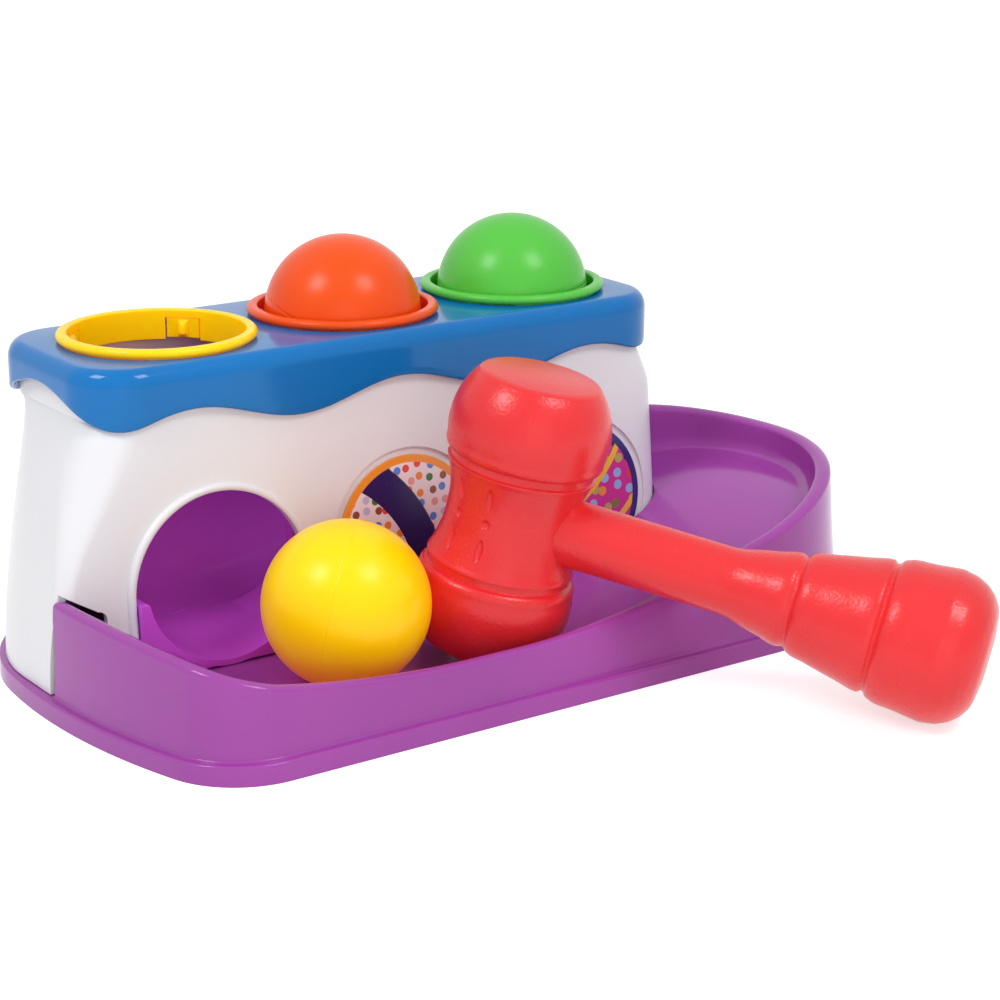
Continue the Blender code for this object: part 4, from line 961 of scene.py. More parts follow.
    def build(self) -> None:
        """Makes and dresses the tray."""
        tray = self.body()
        tools = [(pocket, Tool.CUT) for pocket in self.pockets()]
        pad_top = BENCH.tray_floor - OVERRUN
        for index, (x, y) in enumerate(self.screw_spots):
            tools.append((cylinder(f"pad_{index}", x, y, 0.0, pad_top, self.pad_radius), Tool.ADD))
        tools.append((cylinder("foot_pad", 0.0, 0.0, 0.0, pad_top, self.foot_pad_radius), Tool.ADD))
        profile = np.array([(self.sink_radius, -OVERRUN), (self.sink_radius, self.sink_height),
                            (BENCH.screw_room, self.sink_height), (BENCH.screw_room, self.hole_height)])
        for index, (x, y) in enumerate(self.screw_spots):
            hole = turned(f"screw_hole_{index}", profile, 32)
            tools.append((place(hole, Matrix.Translation((x, y, 0.0))), Tool.CUT))
        reach = self.front + self.back
        room = np.array([(-reach, -self.housing_plane), (self.wall_end_x, -self.housing_plane),
                         (self.wall_end_x, self.wall_end_y), (reach, self.wall_end_y),
                         (reach, reach), (-reach, reach)])
        tools.append((prism("housing_room", room, BENCH.plinth, self.rim_right * 2), Tool.CUT))
        heights = np.linspace(BENCH.plinth, self.rim_right * 2, 24)
        tools.append((loft("housing_space", SHELL.rings(FIT_GAP * 2, heights)), Tool.CUT))
        dress(work(tray, tools), PURPLE, "bench", "base_tray")


# Chute

@dataclass
class Chute:
    """The purple chute: a sloping round-bottomed trough with a mouth through the arch.

    The step keeps faces of parts that are joined from lying in one plane.
    """

    radius: float = 27.6 * MM
    wall: float = 1.8 * MM
    top: float = 66.0 * MM
    end_x: float = 66.5 * MM
    slope: float = math.radians(9.0)
    dome_turn: float = math.radians(88.0)
    mouth_y: float = -42.0 * MM
    mouth_slope: float = math.radians(1.5)
    cheek_y: float = -32.2 * MM
    cheek_z: float = 14.0 * MM
    lip_left: float = -96.2 * MM
    lip_right: float = -38.2 * MM
    lip_top: float = 29.5 * MM
    step: float = 0.15 * MM
    leg_thickness: float = 2.4 * MM
    leg_half_width: float = 18.0 * MM
    boss: float = 4.5 * MM
    pilot_depth: float = 8.25 * MM

    def floor(self, x: float) -> float:
        """Height of the floor below the rings: the bowl's level plus the slope."""
        bowl = BENCH.tray_floor + FIT_GAP + self.wall - self.mouth_y * math.tan(self.mouth_slope)
        return bowl + (x + self.end_x) * math.tan(self.slope)

    def section(self, half_width: float, floor: float, top: float) -> np.ndarray:
        """A round-bottomed U: down one side, round a half circle and up the other.

        Args:
            half_width: the half circle's radius.
            floor: the height of its lowest point.
            top: the height of both ends.

        Returns:
            An (n, 2) array of (across, up).
        """
        turns = np.linspace(math.pi, TURN, 49)
        curve = np.stack([half_width * np.cos(turns), floor + half_width * (1 + np.sin(turns))], axis=1)
        return np.vstack([[(-half_width, top)], curve, [(half_width, top)]])

    def trough(self, name: str, radius: float, under: float, top: float) -> bpy.types.Object:
        """The sloping trough, whose sections close like a dome at both ends.

        Args:
            name: the object's name.
            radius: half its width.
            under: how far its bottom lies below the floor.
            top: the height of its sides.

        Returns:
            The trough as a solid.
        """
        turns = np.linspace(self.dome_turn, 0.0, 25)
        rings = []
        for sign, order in ((-1, turns), (1, turns[::-1])):
            for turn in order:
                half = radius * math.cos(turn)
                flat = self.section(half, self.floor(sign * self.end_x) - under + radius - half, top)
                x = sign * (self.end_x + radius * math.sin(turn))
                rings.append(np.column_stack([np.full(len(flat), x), flat]))
        return loft(name, np.stack(rings))

    def mouth(self, name: str, radius: float, under: float, top: float, front: float) -> bpy.types.Object:
        """The mouth, a trough along Y that falls gently to the front.

        Args:
            name: the object's name.
            radius: half its width.
            under: how far its bottom lies below the floor.
            top: the height of its sides.
            front: the Y where it ends.

        Returns:
            The mouth as a solid.
        """
        rings = []
        for y in (OVERRUN, front):
            floor = self.floor(-self.end_x) + y * math.tan(self.mouth_slope) - under
            flat = self.section(radius, floor, top)
            rings.append(np.column_stack([flat[:, 0] - self.end_x, np.full(len(flat), y), flat[:, 1]]))
        return loft(name, np.stack(rings))

    def build(self) -> None:
        """Makes and dresses the chute."""
        outer = self.radius + self.wall
        chute = self.trough("ball_chute", outer, self.wall, self.top)
        tools = [(self.mouth("mouth_body", outer - self.step, self.wall, self.top - self.step,
                             self.mouth_y), Tool.ADD)]
        foot = BENCH.plinth + FIT_GAP
        left = -self.end_x - outer * 2
        right = -self.end_x + outer * 2
        cheek = np.array([(left, self.cheek_y * 2), (right, self.cheek_y * 2),
                          (right, self.cheek_y), (left, self.cheek_y)])
        tools.append((prism("cheek_room", cheek, self.cheek_z, self.top * 2), Tool.CUT))
        lip = np.array([(self.lip_left, foot), (self.lip_right, foot), (self.lip_right, self.lip_top),
                        (self.lip_left, self.lip_top)])
        near, far = self.mouth_y + self.step, self.cheek_y + self.step
        tools.append((prism("mouth_lip", lip, near, far, "xzy"), Tool.ADD))
        for index, x in enumerate(BENCH.chute_screw_x):
            top = self.floor(x) + self.radius / 2
            half = self.leg_thickness / 2
            leg = np.array([(-self.leg_half_width, foot), (self.leg_half_width, foot),
                            (self.leg_half_width, top), (-self.leg_half_width, top)])
            tools.append((prism(f"leg_{index}", leg, x - half, x + half, "yzx"), Tool.ADD))
            boss_top = self.floor(x) + self.wall
            tools.append((cylinder(f"leg_boss_{index}", x, 0.0, foot, boss_top, self.boss), Tool.ADD))
        tools.append((self.trough("channel", self.radius, 0.0, self.top + OVERRUN), Tool.CUT))
        tools.append((self.mouth("mouth_channel", self.radius - self.step, 0.0, self.top * 2,
                                 self.mouth_y - OVERRUN), Tool.CUT))
        for index, x in enumerate(BENCH.chute_screw_x):
            pilot_top = foot + self.pilot_depth
            pilot = cylinder(f"leg_pilot_{index}", x, 0.0, -OVERRUN, pilot_top, BENCH.pilot_radius)
            tools.append((pilot, Tool.CUT))
        # The chute wears the paler purple, which paints in the light inside the housing.
        dress(work(chute, tools), CHUTE_PURPLE_PAINTED_LIGHT, "bench", "inner_chute")


# Housing

@dataclass
class Housing:
    """The white housing: a flared shell with an arch, picture recesses and a corner notch.

    Inside it has bosses for the base screws and a shelf across each corner for a lid screw.
    The arch's bead is round, and its path lies a share of its radius outside the opening. The
    crowding is the power that draws the rings' levels to the shoulder. Cuts into the front
    start far before it, at the cut front.
    """

    arch_x: float = -67.2 * MM
    arch_radius: float = 29.3 * MM
    arch_spring: float = 29.5 * MM
    bead: float = 1.4 * MM
    bead_share: float = 0.7
    crowding: float = 1.35
    notch_top: float = 36.0 * MM
    notch_fall: float = 6.5 * MM
    notch_run: float = 13.5 * MM
    notch_plane: float = 35.0 * MM
    notch_edge: float = 105.7 * MM
    notch_round: float = 2.6 * MM
    recess_radius: float = 28.0 * MM
    recess_depth: float = 1.0 * MM
    recess_reach: float = 7.0 * MM
    cut_front: float = -161.0 * MM
    tab_inset: float = 0.8 * MM
    tab_reach: float = 4.6 * MM
    tab_thickness: float = 2.5 * MM
    tab_top: float = 72.0 * MM
    screw_spots: tuple = ()
    post_spots: tuple = ()

    def heights(self) -> np.ndarray:
        """Levels of the rings, closer together near the shoulder where the wall turns.

        Returns:
            The levels from the foot to the top, the lower ones spaced by a power.
        """
        low = BENCH.plinth + FIT_GAP
        high = BENCH.lid_height - BENCH.lid_plate - FIT_GAP
        turn = SHELL.shoulder
        below = turn - (turn - low) * np.linspace(1.0, 0.0, 34) ** self.crowding
        return np.concatenate([below, np.linspace(turn, high, 8)[1:]])

    def arch(self, radius: float, foot: float, steps: int = 96) -> np.ndarray:
        """A round-headed arch in X and Z, from its left foot over to its right foot."""
        head = arc((self.arch_x, self.arch_spring), radius, math.pi, 0.0, steps)[:, :2]
        return np.vstack([[(self.arch_x - radius, foot)], head, [(self.arch_x + radius, foot)]])

    def arch_bead(self) -> bpy.types.Object:
        """A round bead along the arch: a circle carried along it, square to its path.

        Returns:
            The bead as a solid, half sunk in the front.
        """
        foot = BENCH.plinth + FIT_GAP + self.bead
        path = self.arch(self.arch_radius + self.bead * self.bead_share, foot, 83)
        legs = [np.linspace(path[0], path[1], 12)[:-1], path[1:-1], np.linspace(path[-2], path[-1], 12)[1:]]
        path = np.vstack(legs)
        run = np.gradient(path, axis=0)
        run /= np.linalg.norm(run, axis=1)[:, None]
        turns = np.arange(20) * (TURN / 20)
        face = np.array([SHELL.front(z) for z in path[:, 1]])
        out = self.bead * np.cos(turns)[None, :]
        rings = np.stack([path[:, 0, None] + run[:, 1, None] * out,
                          face[:, None] + self.bead * np.sin(turns)[None, :],
                          path[:, 1, None] - run[:, 0, None] * out], axis=-1)
        return loft("arch_bead", rings)

    def tab(self, name: str, x: float, y: float) -> bpy.types.Object:
        """A shelf across one of the corners, for a lid screw.

        Args:
            name: the object's name.
            x: the screw's place along the bench.
            y: the screw's place across it.

        Returns:
            The shelf, a piece of the wall's outline that reaches into the wall.
        """
        outline = SHELL.outline(self.tab_top, self.tab_inset - BENCH.shell_wall, 10, 6, 4)[:, :2]
        side = int(math.copysign(1, x))
        depth = int(math.copysign(1, y))
        outline = clip(outline, 0, x - side * self.tab_reach, side)
        outline = clip(outline, 1, y - depth * self.tab_reach, depth)
        return prism(name, outline, self.tab_top - self.tab_thickness, self.tab_top)

    def build(self) -> None:
        """Makes and dresses the housing."""
        heights = self.heights()
        skin = np.concatenate([SHELL.rings(0.0, heights), SHELL.rings(-BENCH.shell_wall, heights)[::-1]])
        housing = loft("flared_housing", skin, ring=True)
        low = BENCH.plinth + FIT_GAP
        tools = [(self.arch_bead(), Tool.ADD)]
        for index, (x, y) in enumerate(self.screw_spots):
            boss = cylinder(f"base_boss_{index}", x, y, low, low + BENCH.boss_height, BENCH.boss_radius)
            tools.append((boss, Tool.ADD))
        for index, (x, y) in enumerate(self.post_spots):
            tools.append((self.tab(f"lid_tab_{index}", x, y), Tool.ADD))
        deep = self.cut_front
        inside = SHELL.front(BENCH.lid_height) + BENCH.shell_wall + SHELL.corner / 2
        arch = self.arch(self.arch_radius, -OVERRUN)
        tools.append((prism("arch_opening", arch, deep, inside, "xzy"), Tool.CUT))
        notch_low = self.notch_top - self.notch_fall
        corner = arc((-self.notch_edge - self.notch_round, notch_low - self.notch_round),
                     self.notch_round, math.pi / 2, 0.0, 10)[:, :2]
        notch = np.vstack([[(deep, self.notch_top), (-self.notch_edge - self.notch_run, self.notch_top)],
                           corner, [(-self.notch_edge, -OVERRUN), (deep, -OVERRUN)]])
        tools.append((prism("front_notch", notch, deep, -self.notch_plane, "xzy"), Tool.CUT))
        profile = np.array([(self.recess_radius, -self.recess_depth), (self.recess_radius, self.recess_reach)])
        for index, x in enumerate((0.0, BENCH.pitch)):
            recess = place(turned(f"picture_recess_{index}", profile, 128), picture_frame(x))
            tools.append((recess, Tool.CUT))
        for index, (x, y) in enumerate(self.screw_spots):
            pilot = cylinder(f"base_pilot_{index}", x, y, -OVERRUN, low + BENCH.pilot_depth, BENCH.pilot_radius)
            tools.append((pilot, Tool.CUT))
        under = self.tab_top - self.tab_thickness - OVERRUN
        for index, (x, y) in enumerate(self.post_spots):
            hole = cylinder(f"tab_hole_{index}", x, y, under, self.tab_top + OVERRUN, BENCH.screw_room)
            tools.append((hole, Tool.CUT))
        dress(work(housing, tools), WHITE, "bench", "housing_shell")


def picture_frame(x: float) -> Matrix:
    """The plane of a picture disc, which leans back with the housing's front.

    Args:
        x: the disc's place along the bench.

    Returns:
        A matrix whose third column points out of the front.
    """
    height, radius = BENCH.picture_height, BENCH.picture_radius
    low = SHELL.front(height - radius)
    high = SHELL.front(height + radius)
    lean = math.atan2(high - low, 2 * radius)
    normal = Vector((0.0, -math.cos(lean), math.sin(lean)))
    up = Vector((0.0, math.sin(lean), math.cos(lean)))
    axes = Matrix((Vector((1.0, 0.0, 0.0)), up, normal)).transposed().to_4x4()
    return Matrix.Translation(Vector((x, (low + high) / 2, height))) @ axes


# Lid

@dataclass
class Lid:
    """The blue lid: a plate with a round edge, a waved skirt, four posts and three holes."""

    half_length: float = 104.5 * MM
    end_bow: float = 1.0 * MM
    shift: float = -0.8 * MM
    half_depth: float = 35.6 * MM
    corner: float = 17.8 * MM
    edge_across: float = 4.2 * MM
    edge_down: float = 5.7 * MM
    skirt_wall: float = 1.5 * MM
    skirt_root: float = 2.1 * MM
    side_drop: float = 17.4 * MM
    side_wave: float = 3.5 * MM
    side_pitch: float = 72.5 * MM
    end_drop: float = 11.8 * MM
    end_wave: float = 3.6 * MM
    end_pitch: float = 71.0 * MM
    post_radius: float = 3.2 * MM
    post_length: float = 23.7 * MM
    crisp: float = math.radians(24.0)
    post_spots: tuple = ()

    def outline(self) -> np.ndarray:
        """The rounded rectangle, its ends bowed out by a parabola across them.

        Returns:
            An (n, 4) array of points and outward directions.
        """
        flat = rounded_box(self.shift - self.half_length, self.shift + self.half_length,
                           -self.half_depth, self.half_depth, [self.corner] * 4, 28, 150, 36)
        along = flat[:, 0] - self.shift
        outside = np.abs(along) >= self.half_length - self.corner
        bow = self.end_bow * (1 - (flat[:, 1] / self.half_depth) ** 2)
        flat[:, 0] += np.where(outside, np.sign(along) * bow, 0.0)
        return flat

    def skirt(self, x: np.ndarray, y: np.ndarray) -> np.ndarray:
        """Height of the skirt's edge: a cosine along the sides, another across the ends.

        Round a corner the one eases into the other with the turn about its centre.

        Args:
            x: places along the bench.
            y: places across it.

        Returns:
            The height at each place.
        """
        side = BENCH.lid_height - self.side_drop + self.side_wave * np.cos(TURN * x / self.side_pitch)
        end = BENCH.lid_height - self.end_drop + self.end_wave * np.cos(TURN * y / self.end_pitch)
        half = self.half_length - self.corner
        along = np.abs(x - self.shift)
        turn = np.arctan2(along - half, np.abs(y) - (self.half_depth - self.corner))
        eased = side + (end - side) * smooth_step(turn / (math.pi / 2))
        return np.where(along <= half, side, eased)

    def build(self) -> None:
        """Makes and dresses the lid."""
        outline = self.outline()
        feet = self.skirt(outline[:, 0], outline[:, 1])
        flat = np.ones(len(outline))
        top = BENCH.lid_height
        edge_low = top - self.edge_down
        under = top - BENCH.lid_plate
        levels = (0.35, 0.7)
        rows = [(self.skirt_root * flat, under * flat), (self.skirt_wall * flat, edge_low * flat)]
        for share in levels:
            rows.append((self.skirt_wall * flat, edge_low + (feet - edge_low) * share))
        half = self.skirt_wall / 2
        for turn in np.linspace(0.0, math.pi, 7):
            rows.append((self.skirt_wall - half * (1 - math.cos(turn)) * flat,
                         feet + half * (1 - math.sin(turn))))
        for share in levels[::-1]:
            rows.append((0.0 * flat, edge_low + (feet - edge_low) * share))
        for turn in np.linspace(0.0, math.pi / 2, 13):
            rows.append((self.edge_across * (1 - math.cos(turn)) * flat,
                         (edge_low + self.edge_down * math.sin(turn)) * flat))
        lid = loft("waved_lid", inset_rings(outline, rows))
        tools = []
        foot = under - self.post_length
        for index, (x, y) in enumerate(self.post_spots):
            post = cylinder(f"post_{index}", x, y, foot, under + BENCH.lid_plate / 2, self.post_radius)
            pilot = cylinder(f"post_pilot_{index}", x, y, foot - OVERRUN, foot + BENCH.pilot_depth,
                             BENCH.pilot_radius)
            tools += [(post, Tool.ADD), (pilot, Tool.CUT)]
        for side in Side:
            tools.append((cylinder(f"ring_hole_{side.name}", side.value * BENCH.pitch, 0.0,
                                   under - BENCH.lid_plate, top + BENCH.lid_plate,
                                   BENCH.tube + FIT_GAP, 128), Tool.CUT))
        dress(work(lid, tools, self.crisp), BLUE, "bench", "top_lid")


# Rings

@dataclass
class Ring:
    """A ring in the lid: a rounded lip, a slit tube and four spring fingers with nubs.

    The gaps are the room between nub and seated ball, over a finger and beside it.
    """

    side: Side
    finish: Plastic
    lip_reach: float = 3.4 * MM
    finger_wall: float = 1.5 * MM
    finger_foot: float = 0.7 * MM
    nub_half_width: float = math.radians(3.4)
    nub_height: float = 4.2 * MM
    nub_foot: float = 1.4 * MM
    nub_stretch: float = 1.35
    nub_start: float = 0.35
    nub_gap: float = 0.32 * MM
    top_gap: float = 0.2 * MM
    side_gap: float = 0.25 * MM

    @property
    def x(self) -> float:
        """The ring's place along the bench."""
        return self.side.value * BENCH.pitch

    def round_to(self, turn: float) -> Matrix:
        """Turns a piece about the ring's middle, from +X to the given direction."""
        return Matrix.Translation((self.x, 0.0, 0.0)) @ Matrix.Rotation(turn, 4, "Z")

    def sector(self, name: str, half_width: float, inner: float, outer: float, low: float,
               high: float) -> bpy.types.Object:
        """A block between two radii and two heights, centred on +X.

        Args:
            name: the object's name.
            half_width: half its width, as a turn.
            inner: the smaller radius.
            outer: the larger radius.
            low: where it starts.
            high: where it ends.

        Returns:
            The new object.
        """
        turns = np.linspace(-half_width, half_width, 13)
        away = np.stack([outer * np.cos(turns), outer * np.sin(turns)], axis=1)
        near = np.stack([inner * np.cos(turns), inner * np.sin(turns)], axis=1)
        return prism(name, np.vstack([away, near[::-1]]), low, high)

    def collar(self) -> bpy.types.Object:
        """The lip and tube turned from one profile, then slit for the fingers.

        Returns:
            The finished collar.
        """
        outer = BENCH.bore + self.lip_reach
        half = (BENCH.collar_top - BENCH.collar_seat) / 2
        middle = BENCH.collar_seat + half
        profile = [(BENCH.bore, BENCH.collar_foot), (BENCH.tube, BENCH.collar_foot),
                   (BENCH.tube, BENCH.collar_seat)]
        for turn in np.radians(np.linspace(-90.0, 90.0, 13)):
            profile.append((outer - half + half * math.cos(turn), middle + half * math.sin(turn)))
        for turn in np.radians(np.linspace(90.0, 180.0, 7)):
            profile.append((BENCH.bore + half / 2 + half / 2 * math.cos(turn),
                            BENCH.collar_top - half / 2 + half / 2 * math.sin(turn)))
        ring = place(turned(f"{self.side.name.lower()}_collar", np.array(profile), 128, ring=True),
                     Matrix.Translation((self.x, 0.0, 0.0)))
        tools = []
        half_width = BENCH.finger_half_width + FIT_GAP / BENCH.bore
        for index, turn in enumerate(BENCH.finger_turns()):
            slit = self.sector(f"slit_{index}", half_width, BENCH.bore - OVERRUN, BENCH.tube + OVERRUN,
                               BENCH.collar_foot - OVERRUN, BENCH.collar_seat)
            tools.append((place(slit, self.round_to(turn)), Tool.CUT))
        return work(ring, tools)

    def finger(self, index: int, turn: float) -> bpy.types.Object:
        """One finger, as rings over its height.

        Its inner face lies at the bore, and swells into a nub whose radius follows the seated
        ball: the square root of ball radius squared less drop squared. Across, the swell is a
        half circle, and above and below it fades as a dome.

        Args:
            index: the finger's number in its ring.
            turn: its direction from the ring's middle.

        Returns:
            The finger as a solid.
        """
        low = BENCH.collar_foot + self.finger_foot
        high = BENCH.collar_seat - self.top_gap
        half_width = BENCH.finger_half_width - self.side_gap / BENCH.bore
        nub_low = low + self.nub_foot
        levels = np.linspace(nub_low, nub_low + self.nub_height, 15)
        heights = np.unique(np.concatenate([[low], levels, [high]]))
        nub_turns = np.linspace(-1.0, 1.0, 17) * self.nub_half_width
        turns = np.unique(np.concatenate([[-half_width], nub_turns, [half_width]]))
        up = np.clip((heights - nub_low) / self.nub_height, 0.0, 1.0)
        drop = BENCH.seated_ball - heights
        reach = np.sqrt(np.maximum(BENCH.ball_radius ** 2 - drop ** 2, 0.0)) + self.nub_gap
        fade = np.clip(up * self.nub_stretch - self.nub_start, 0.0, 1.0)
        dome = np.sqrt(np.clip(1 - fade ** 2, 0.0, 1.0))
        dome *= (heights >= nub_low) & (heights < nub_low + self.nub_height)
        across = np.sqrt(np.clip(1 - (turns / self.nub_half_width) ** 2, 0.0, 1.0))
        radius = BENCH.bore + (reach - BENCH.bore)[:, None] * across[None, :] * dome[:, None]
        outer = BENCH.bore + self.finger_wall
        level = np.repeat(heights[:, None], len(turns), axis=1)
        inner = np.stack([radius * np.cos(turns), radius * np.sin(turns), level], axis=-1)
        back = np.stack([np.broadcast_to(outer * np.cos(turns[::-1]), radius.shape),
                         np.broadcast_to(outer * np.sin(turns[::-1]), radius.shape), level], axis=-1)
        made = loft(f"{self.side.name.lower()}_spring_{index}", np.concatenate([inner, back], axis=1))
        return place(made, self.round_to(turn))

    def build(self) -> None:
        """Makes and dresses the ring and its fingers."""
        side = self.side.name.lower()
        dress(self.collar(), self.finish, "bench", f"{side}_ring_collar")
        for index, turn in enumerate(BENCH.finger_turns()):
            node = f"{side}_ring_finger_{index + 1}"
            dress(self.finger(index + 1, turn), self.finish, body_of_node(node), node)


def body_of_node(node: str) -> str:
    """The body that a solid belongs to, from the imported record.

    Args:
        node: the solid's name.

    Returns:
        The body's name.
    """
    for body, nodes in frame["record"]["behaviour"]["bodies"].items():
        if node in nodes:
            return body
    raise ValueError(f"no body holds {node}")


# Balls

@dataclass
class Ball:
    """A moulded ball with a fine parting line round it, in the plane square to its seam direction.

    The grid's rows lie close together between the two turns near the seam and wide apart
    outside the two turns off it, in degrees from the seam direction.
    """

    name: str
    place: tuple[float, float, float]
    finish: Plastic
    seam: tuple[float, float, float]
    seam_depth: float = 0.16 * MM
    seam_width: float = 0.24 * MM
    near_seam: tuple[float, float] = (86.6, 93.4)
    off_seam: tuple[float, float] = (86.0, 94.0)

    def build(self) -> None:
        """Makes and dresses the ball.

        The radius is the ball's, less a groove whose depth falls off as a bell with the
        distance from the plane of the parting line. The grid's poles lie on the parting
        line's axis, so the groove runs along a row of the grid.
        """
        before, after = self.off_seam
        polar = np.concatenate([np.linspace(0.0, before, 44), np.linspace(*self.near_seam, 29),
                                np.linspace(after, 180.0, 44)])
        polar = np.radians(polar)[1:-1, None]
        off = BENCH.ball_radius * np.cos(polar)
        radius = BENCH.ball_radius - self.seam_depth * np.exp(-(off / self.seam_width) ** 2)
        profile = np.hstack([radius * np.sin(polar), radius * np.cos(polar)])
        ball = turned(f"moulded_{self.name}", profile, 128)
        axis = Vector(self.seam).normalized()
        turn = Vector((0.0, 0.0, 1.0)).rotation_difference(axis).to_matrix().to_4x4()
        place(ball, Matrix.Translation(self.place) @ turn)
        dress(ball, self.finish, self.name, self.name)


# Hammer

@dataclass
class Hammer:
    """The blow-moulded hammer: a waisted head with two grooves, and a handle that swells to a grip.

    The shares give each profile as (place along, radius), in parts of its length and of its
    largest radius. The head's profile is the same on both sides of its middle.
    """

    centre: tuple = (5.5 * MM, -84.78 * MM, 51.75 * MM)
    handle_way: tuple = (0.605, -0.761, -0.21041)
    head_way: tuple = (0.154, -0.164, 0.974)
    head_half: float = 43.3 * MM
    head_radius: float = 24.3 * MM
    handle_length: float = 146.3 * MM
    handle_below: float = 0.9 * MM
    grip_radius: float = 22.98 * MM
    head_shares: tuple = (
        (0.0, 0.798), (0.115, 0.807), (0.231, 0.848), (0.312, 0.893), (0.353, 0.922), (0.362, 0.892),
        (0.410, 0.892), (0.423, 0.941), (0.508, 0.983), (0.612, 1.0), (0.716, 0.983), (0.808, 0.937),
        (0.900, 0.858), (0.965, 0.775), (0.992, 0.720), (1.0, 0.668))
    handle_shares: tuple = (
        (0.06, 0.455), (0.12, 0.448), (0.19, 0.443), (0.40, 0.440), (0.444, 0.438), (0.478, 0.452),
        (0.517, 0.514), (0.553, 0.563), (0.588, 0.616), (0.596, 0.612), (0.605, 0.590), (0.616, 0.655),
        (0.655, 0.716), (0.689, 0.765), (0.724, 0.811), (0.770, 0.872), (0.780, 0.835), (0.792, 0.905),
        (0.855, 0.965), (0.888, 0.990), (0.904, 1.0), (0.918, 0.985), (0.934, 0.966), (0.949, 0.925),
        (0.963, 0.872), (0.985, 0.715), (0.994, 0.573), (1.0, 0.30))
    mark_turns: tuple = (math.radians(7.5), math.radians(38.5))
    mark_rows: tuple = ((-7.7 * MM, 1.3 * MM, 3.8 * MM), (0.5 * MM, 1.8 * MM, 1.9 * MM),
                        (8.4 * MM, 1.3 * MM, 3.8 * MM))
    mark_depth: float = 0.9 * MM

    def frame(self) -> Matrix:
        """Axes of the hammer: its third column runs along the head, its second back along the handle.

        Returns:
            The matrix that lays the hammer in the tray.
        """
        grip = Vector(self.handle_way).normalized()
        head = Vector(self.head_way)
        head = (head - grip * head.dot(grip)).normalized()
        side = grip.cross(head)
        return Matrix.Translation(self.centre) @ Matrix((side, -grip, head)).transposed().to_4x4()

    def fine(self, shares: np.ndarray, along: float, out: float, steps: int) -> np.ndarray:
        """A profile in lengths, its corners eased by a cubic through them.

        A point's slope is the mean of the slopes beside it, and level where they differ in
        sign, so that a high or low point stays one.

        Args:
            shares: an (n, 2) array of shares.
            along: the length that the first share is of.
            out: the radius that the second share is of.
            steps: steps between two of the points.

        Returns:
            An (m, 2) array of place and radius.
        """
        position = shares[:, 0] * along
        radius = shares[:, 1] * out
        slope = np.diff(radius) / np.diff(position)
        tangent = np.concatenate([[slope[0]], (slope[1:] + slope[:-1]) / 2, [slope[-1]]])
        turning = np.concatenate([[False], slope[1:] * slope[:-1] <= 0, [False]])
        tangent[turning] = 0.0
        found = []
        for i in range(len(position) - 1):
            span = position[i + 1] - position[i]
            t = np.linspace(0.0, 1.0, steps, endpoint=False)
            h = np.stack([2 * t ** 3 - 3 * t ** 2 + 1, t ** 3 - 2 * t ** 2 + t,
                          3 * t ** 2 - 2 * t ** 3, t ** 3 - t ** 2])
            values = h.T @ np.array([radius[i], span * tangent[i], radius[i + 1], span * tangent[i + 1]])
            found.append(np.stack([position[i] + span * t, values], axis=1))
        found.append(np.array([[position[-1], radius[-1]]]))
        return np.vstack(found)

    def mark(self, name: str, turn: float, height: float, half_width: float,
             half_length: float) -> bpy.types.Object:
        """A long pip to press into the waist, leaning with the waist's slope.

        Args:
            name: the object's name.
            turn: its place round the head.
            height: its place along the head.
            half_width: half its width.
            half_length: half its length along the head.

        Returns:
            The new object.
        """
        polar = np.radians(np.linspace(0.0, 180.0, 19))[1:-1, None]
        pip = turned(name, np.hstack([half_width * np.sin(polar), half_length * np.cos(polar)]), 32)
        shares = np.array(self.head_shares)
        reach = np.array([abs(height), abs(height) + half_length / 2]) / self.head_half
        waist = np.interp(reach, shares[:, 0], shares[:, 1]) * self.head_radius
        lean = math.copysign(math.atan2(waist[1] - waist[0], half_length / 2), height)
        out = waist[0] + half_width - self.mark_depth
        spot = Matrix.Translation((out, 0.0, height)) @ Matrix.Rotation(lean, 4, "Y")
        return place(pip, Matrix.Rotation(turn, 4, "Z") @ spot)

    def build(self) -> None:
        """Makes and dresses the hammer."""
        half = self.fine(np.array(self.head_shares), self.head_half, self.head_radius, 5)
        low = half[:0:-1] * np.array([-1.0, 1.0])
        profile = np.vstack([low, half])[:, ::-1]
        head = turned("toy_hammer", profile, 120)
        grip = self.fine(np.array(self.handle_shares), self.handle_length, self.grip_radius, 4)
        below = Matrix.Translation((0.0, 0.0, -self.handle_below))
        handle = turned("hammer_handle", grip[:, ::-1], 96)
        place(handle, below @ Matrix.Rotation(math.pi / 2, 4, "X"))
        tools = [(handle, Tool.ADD)]
        for column, turn in enumerate(self.mark_turns):
            for row, (height, half_width, half_length) in enumerate(self.mark_rows):
                mark = self.mark(f"hammer_mark_{column}_{row}", turn, height, half_width, half_length)
                tools.append((mark, Tool.CUT))
        work(head, tools)
        place(head, self.frame())
        dress(head, RED, "hammer", "hammer")


# Pictures

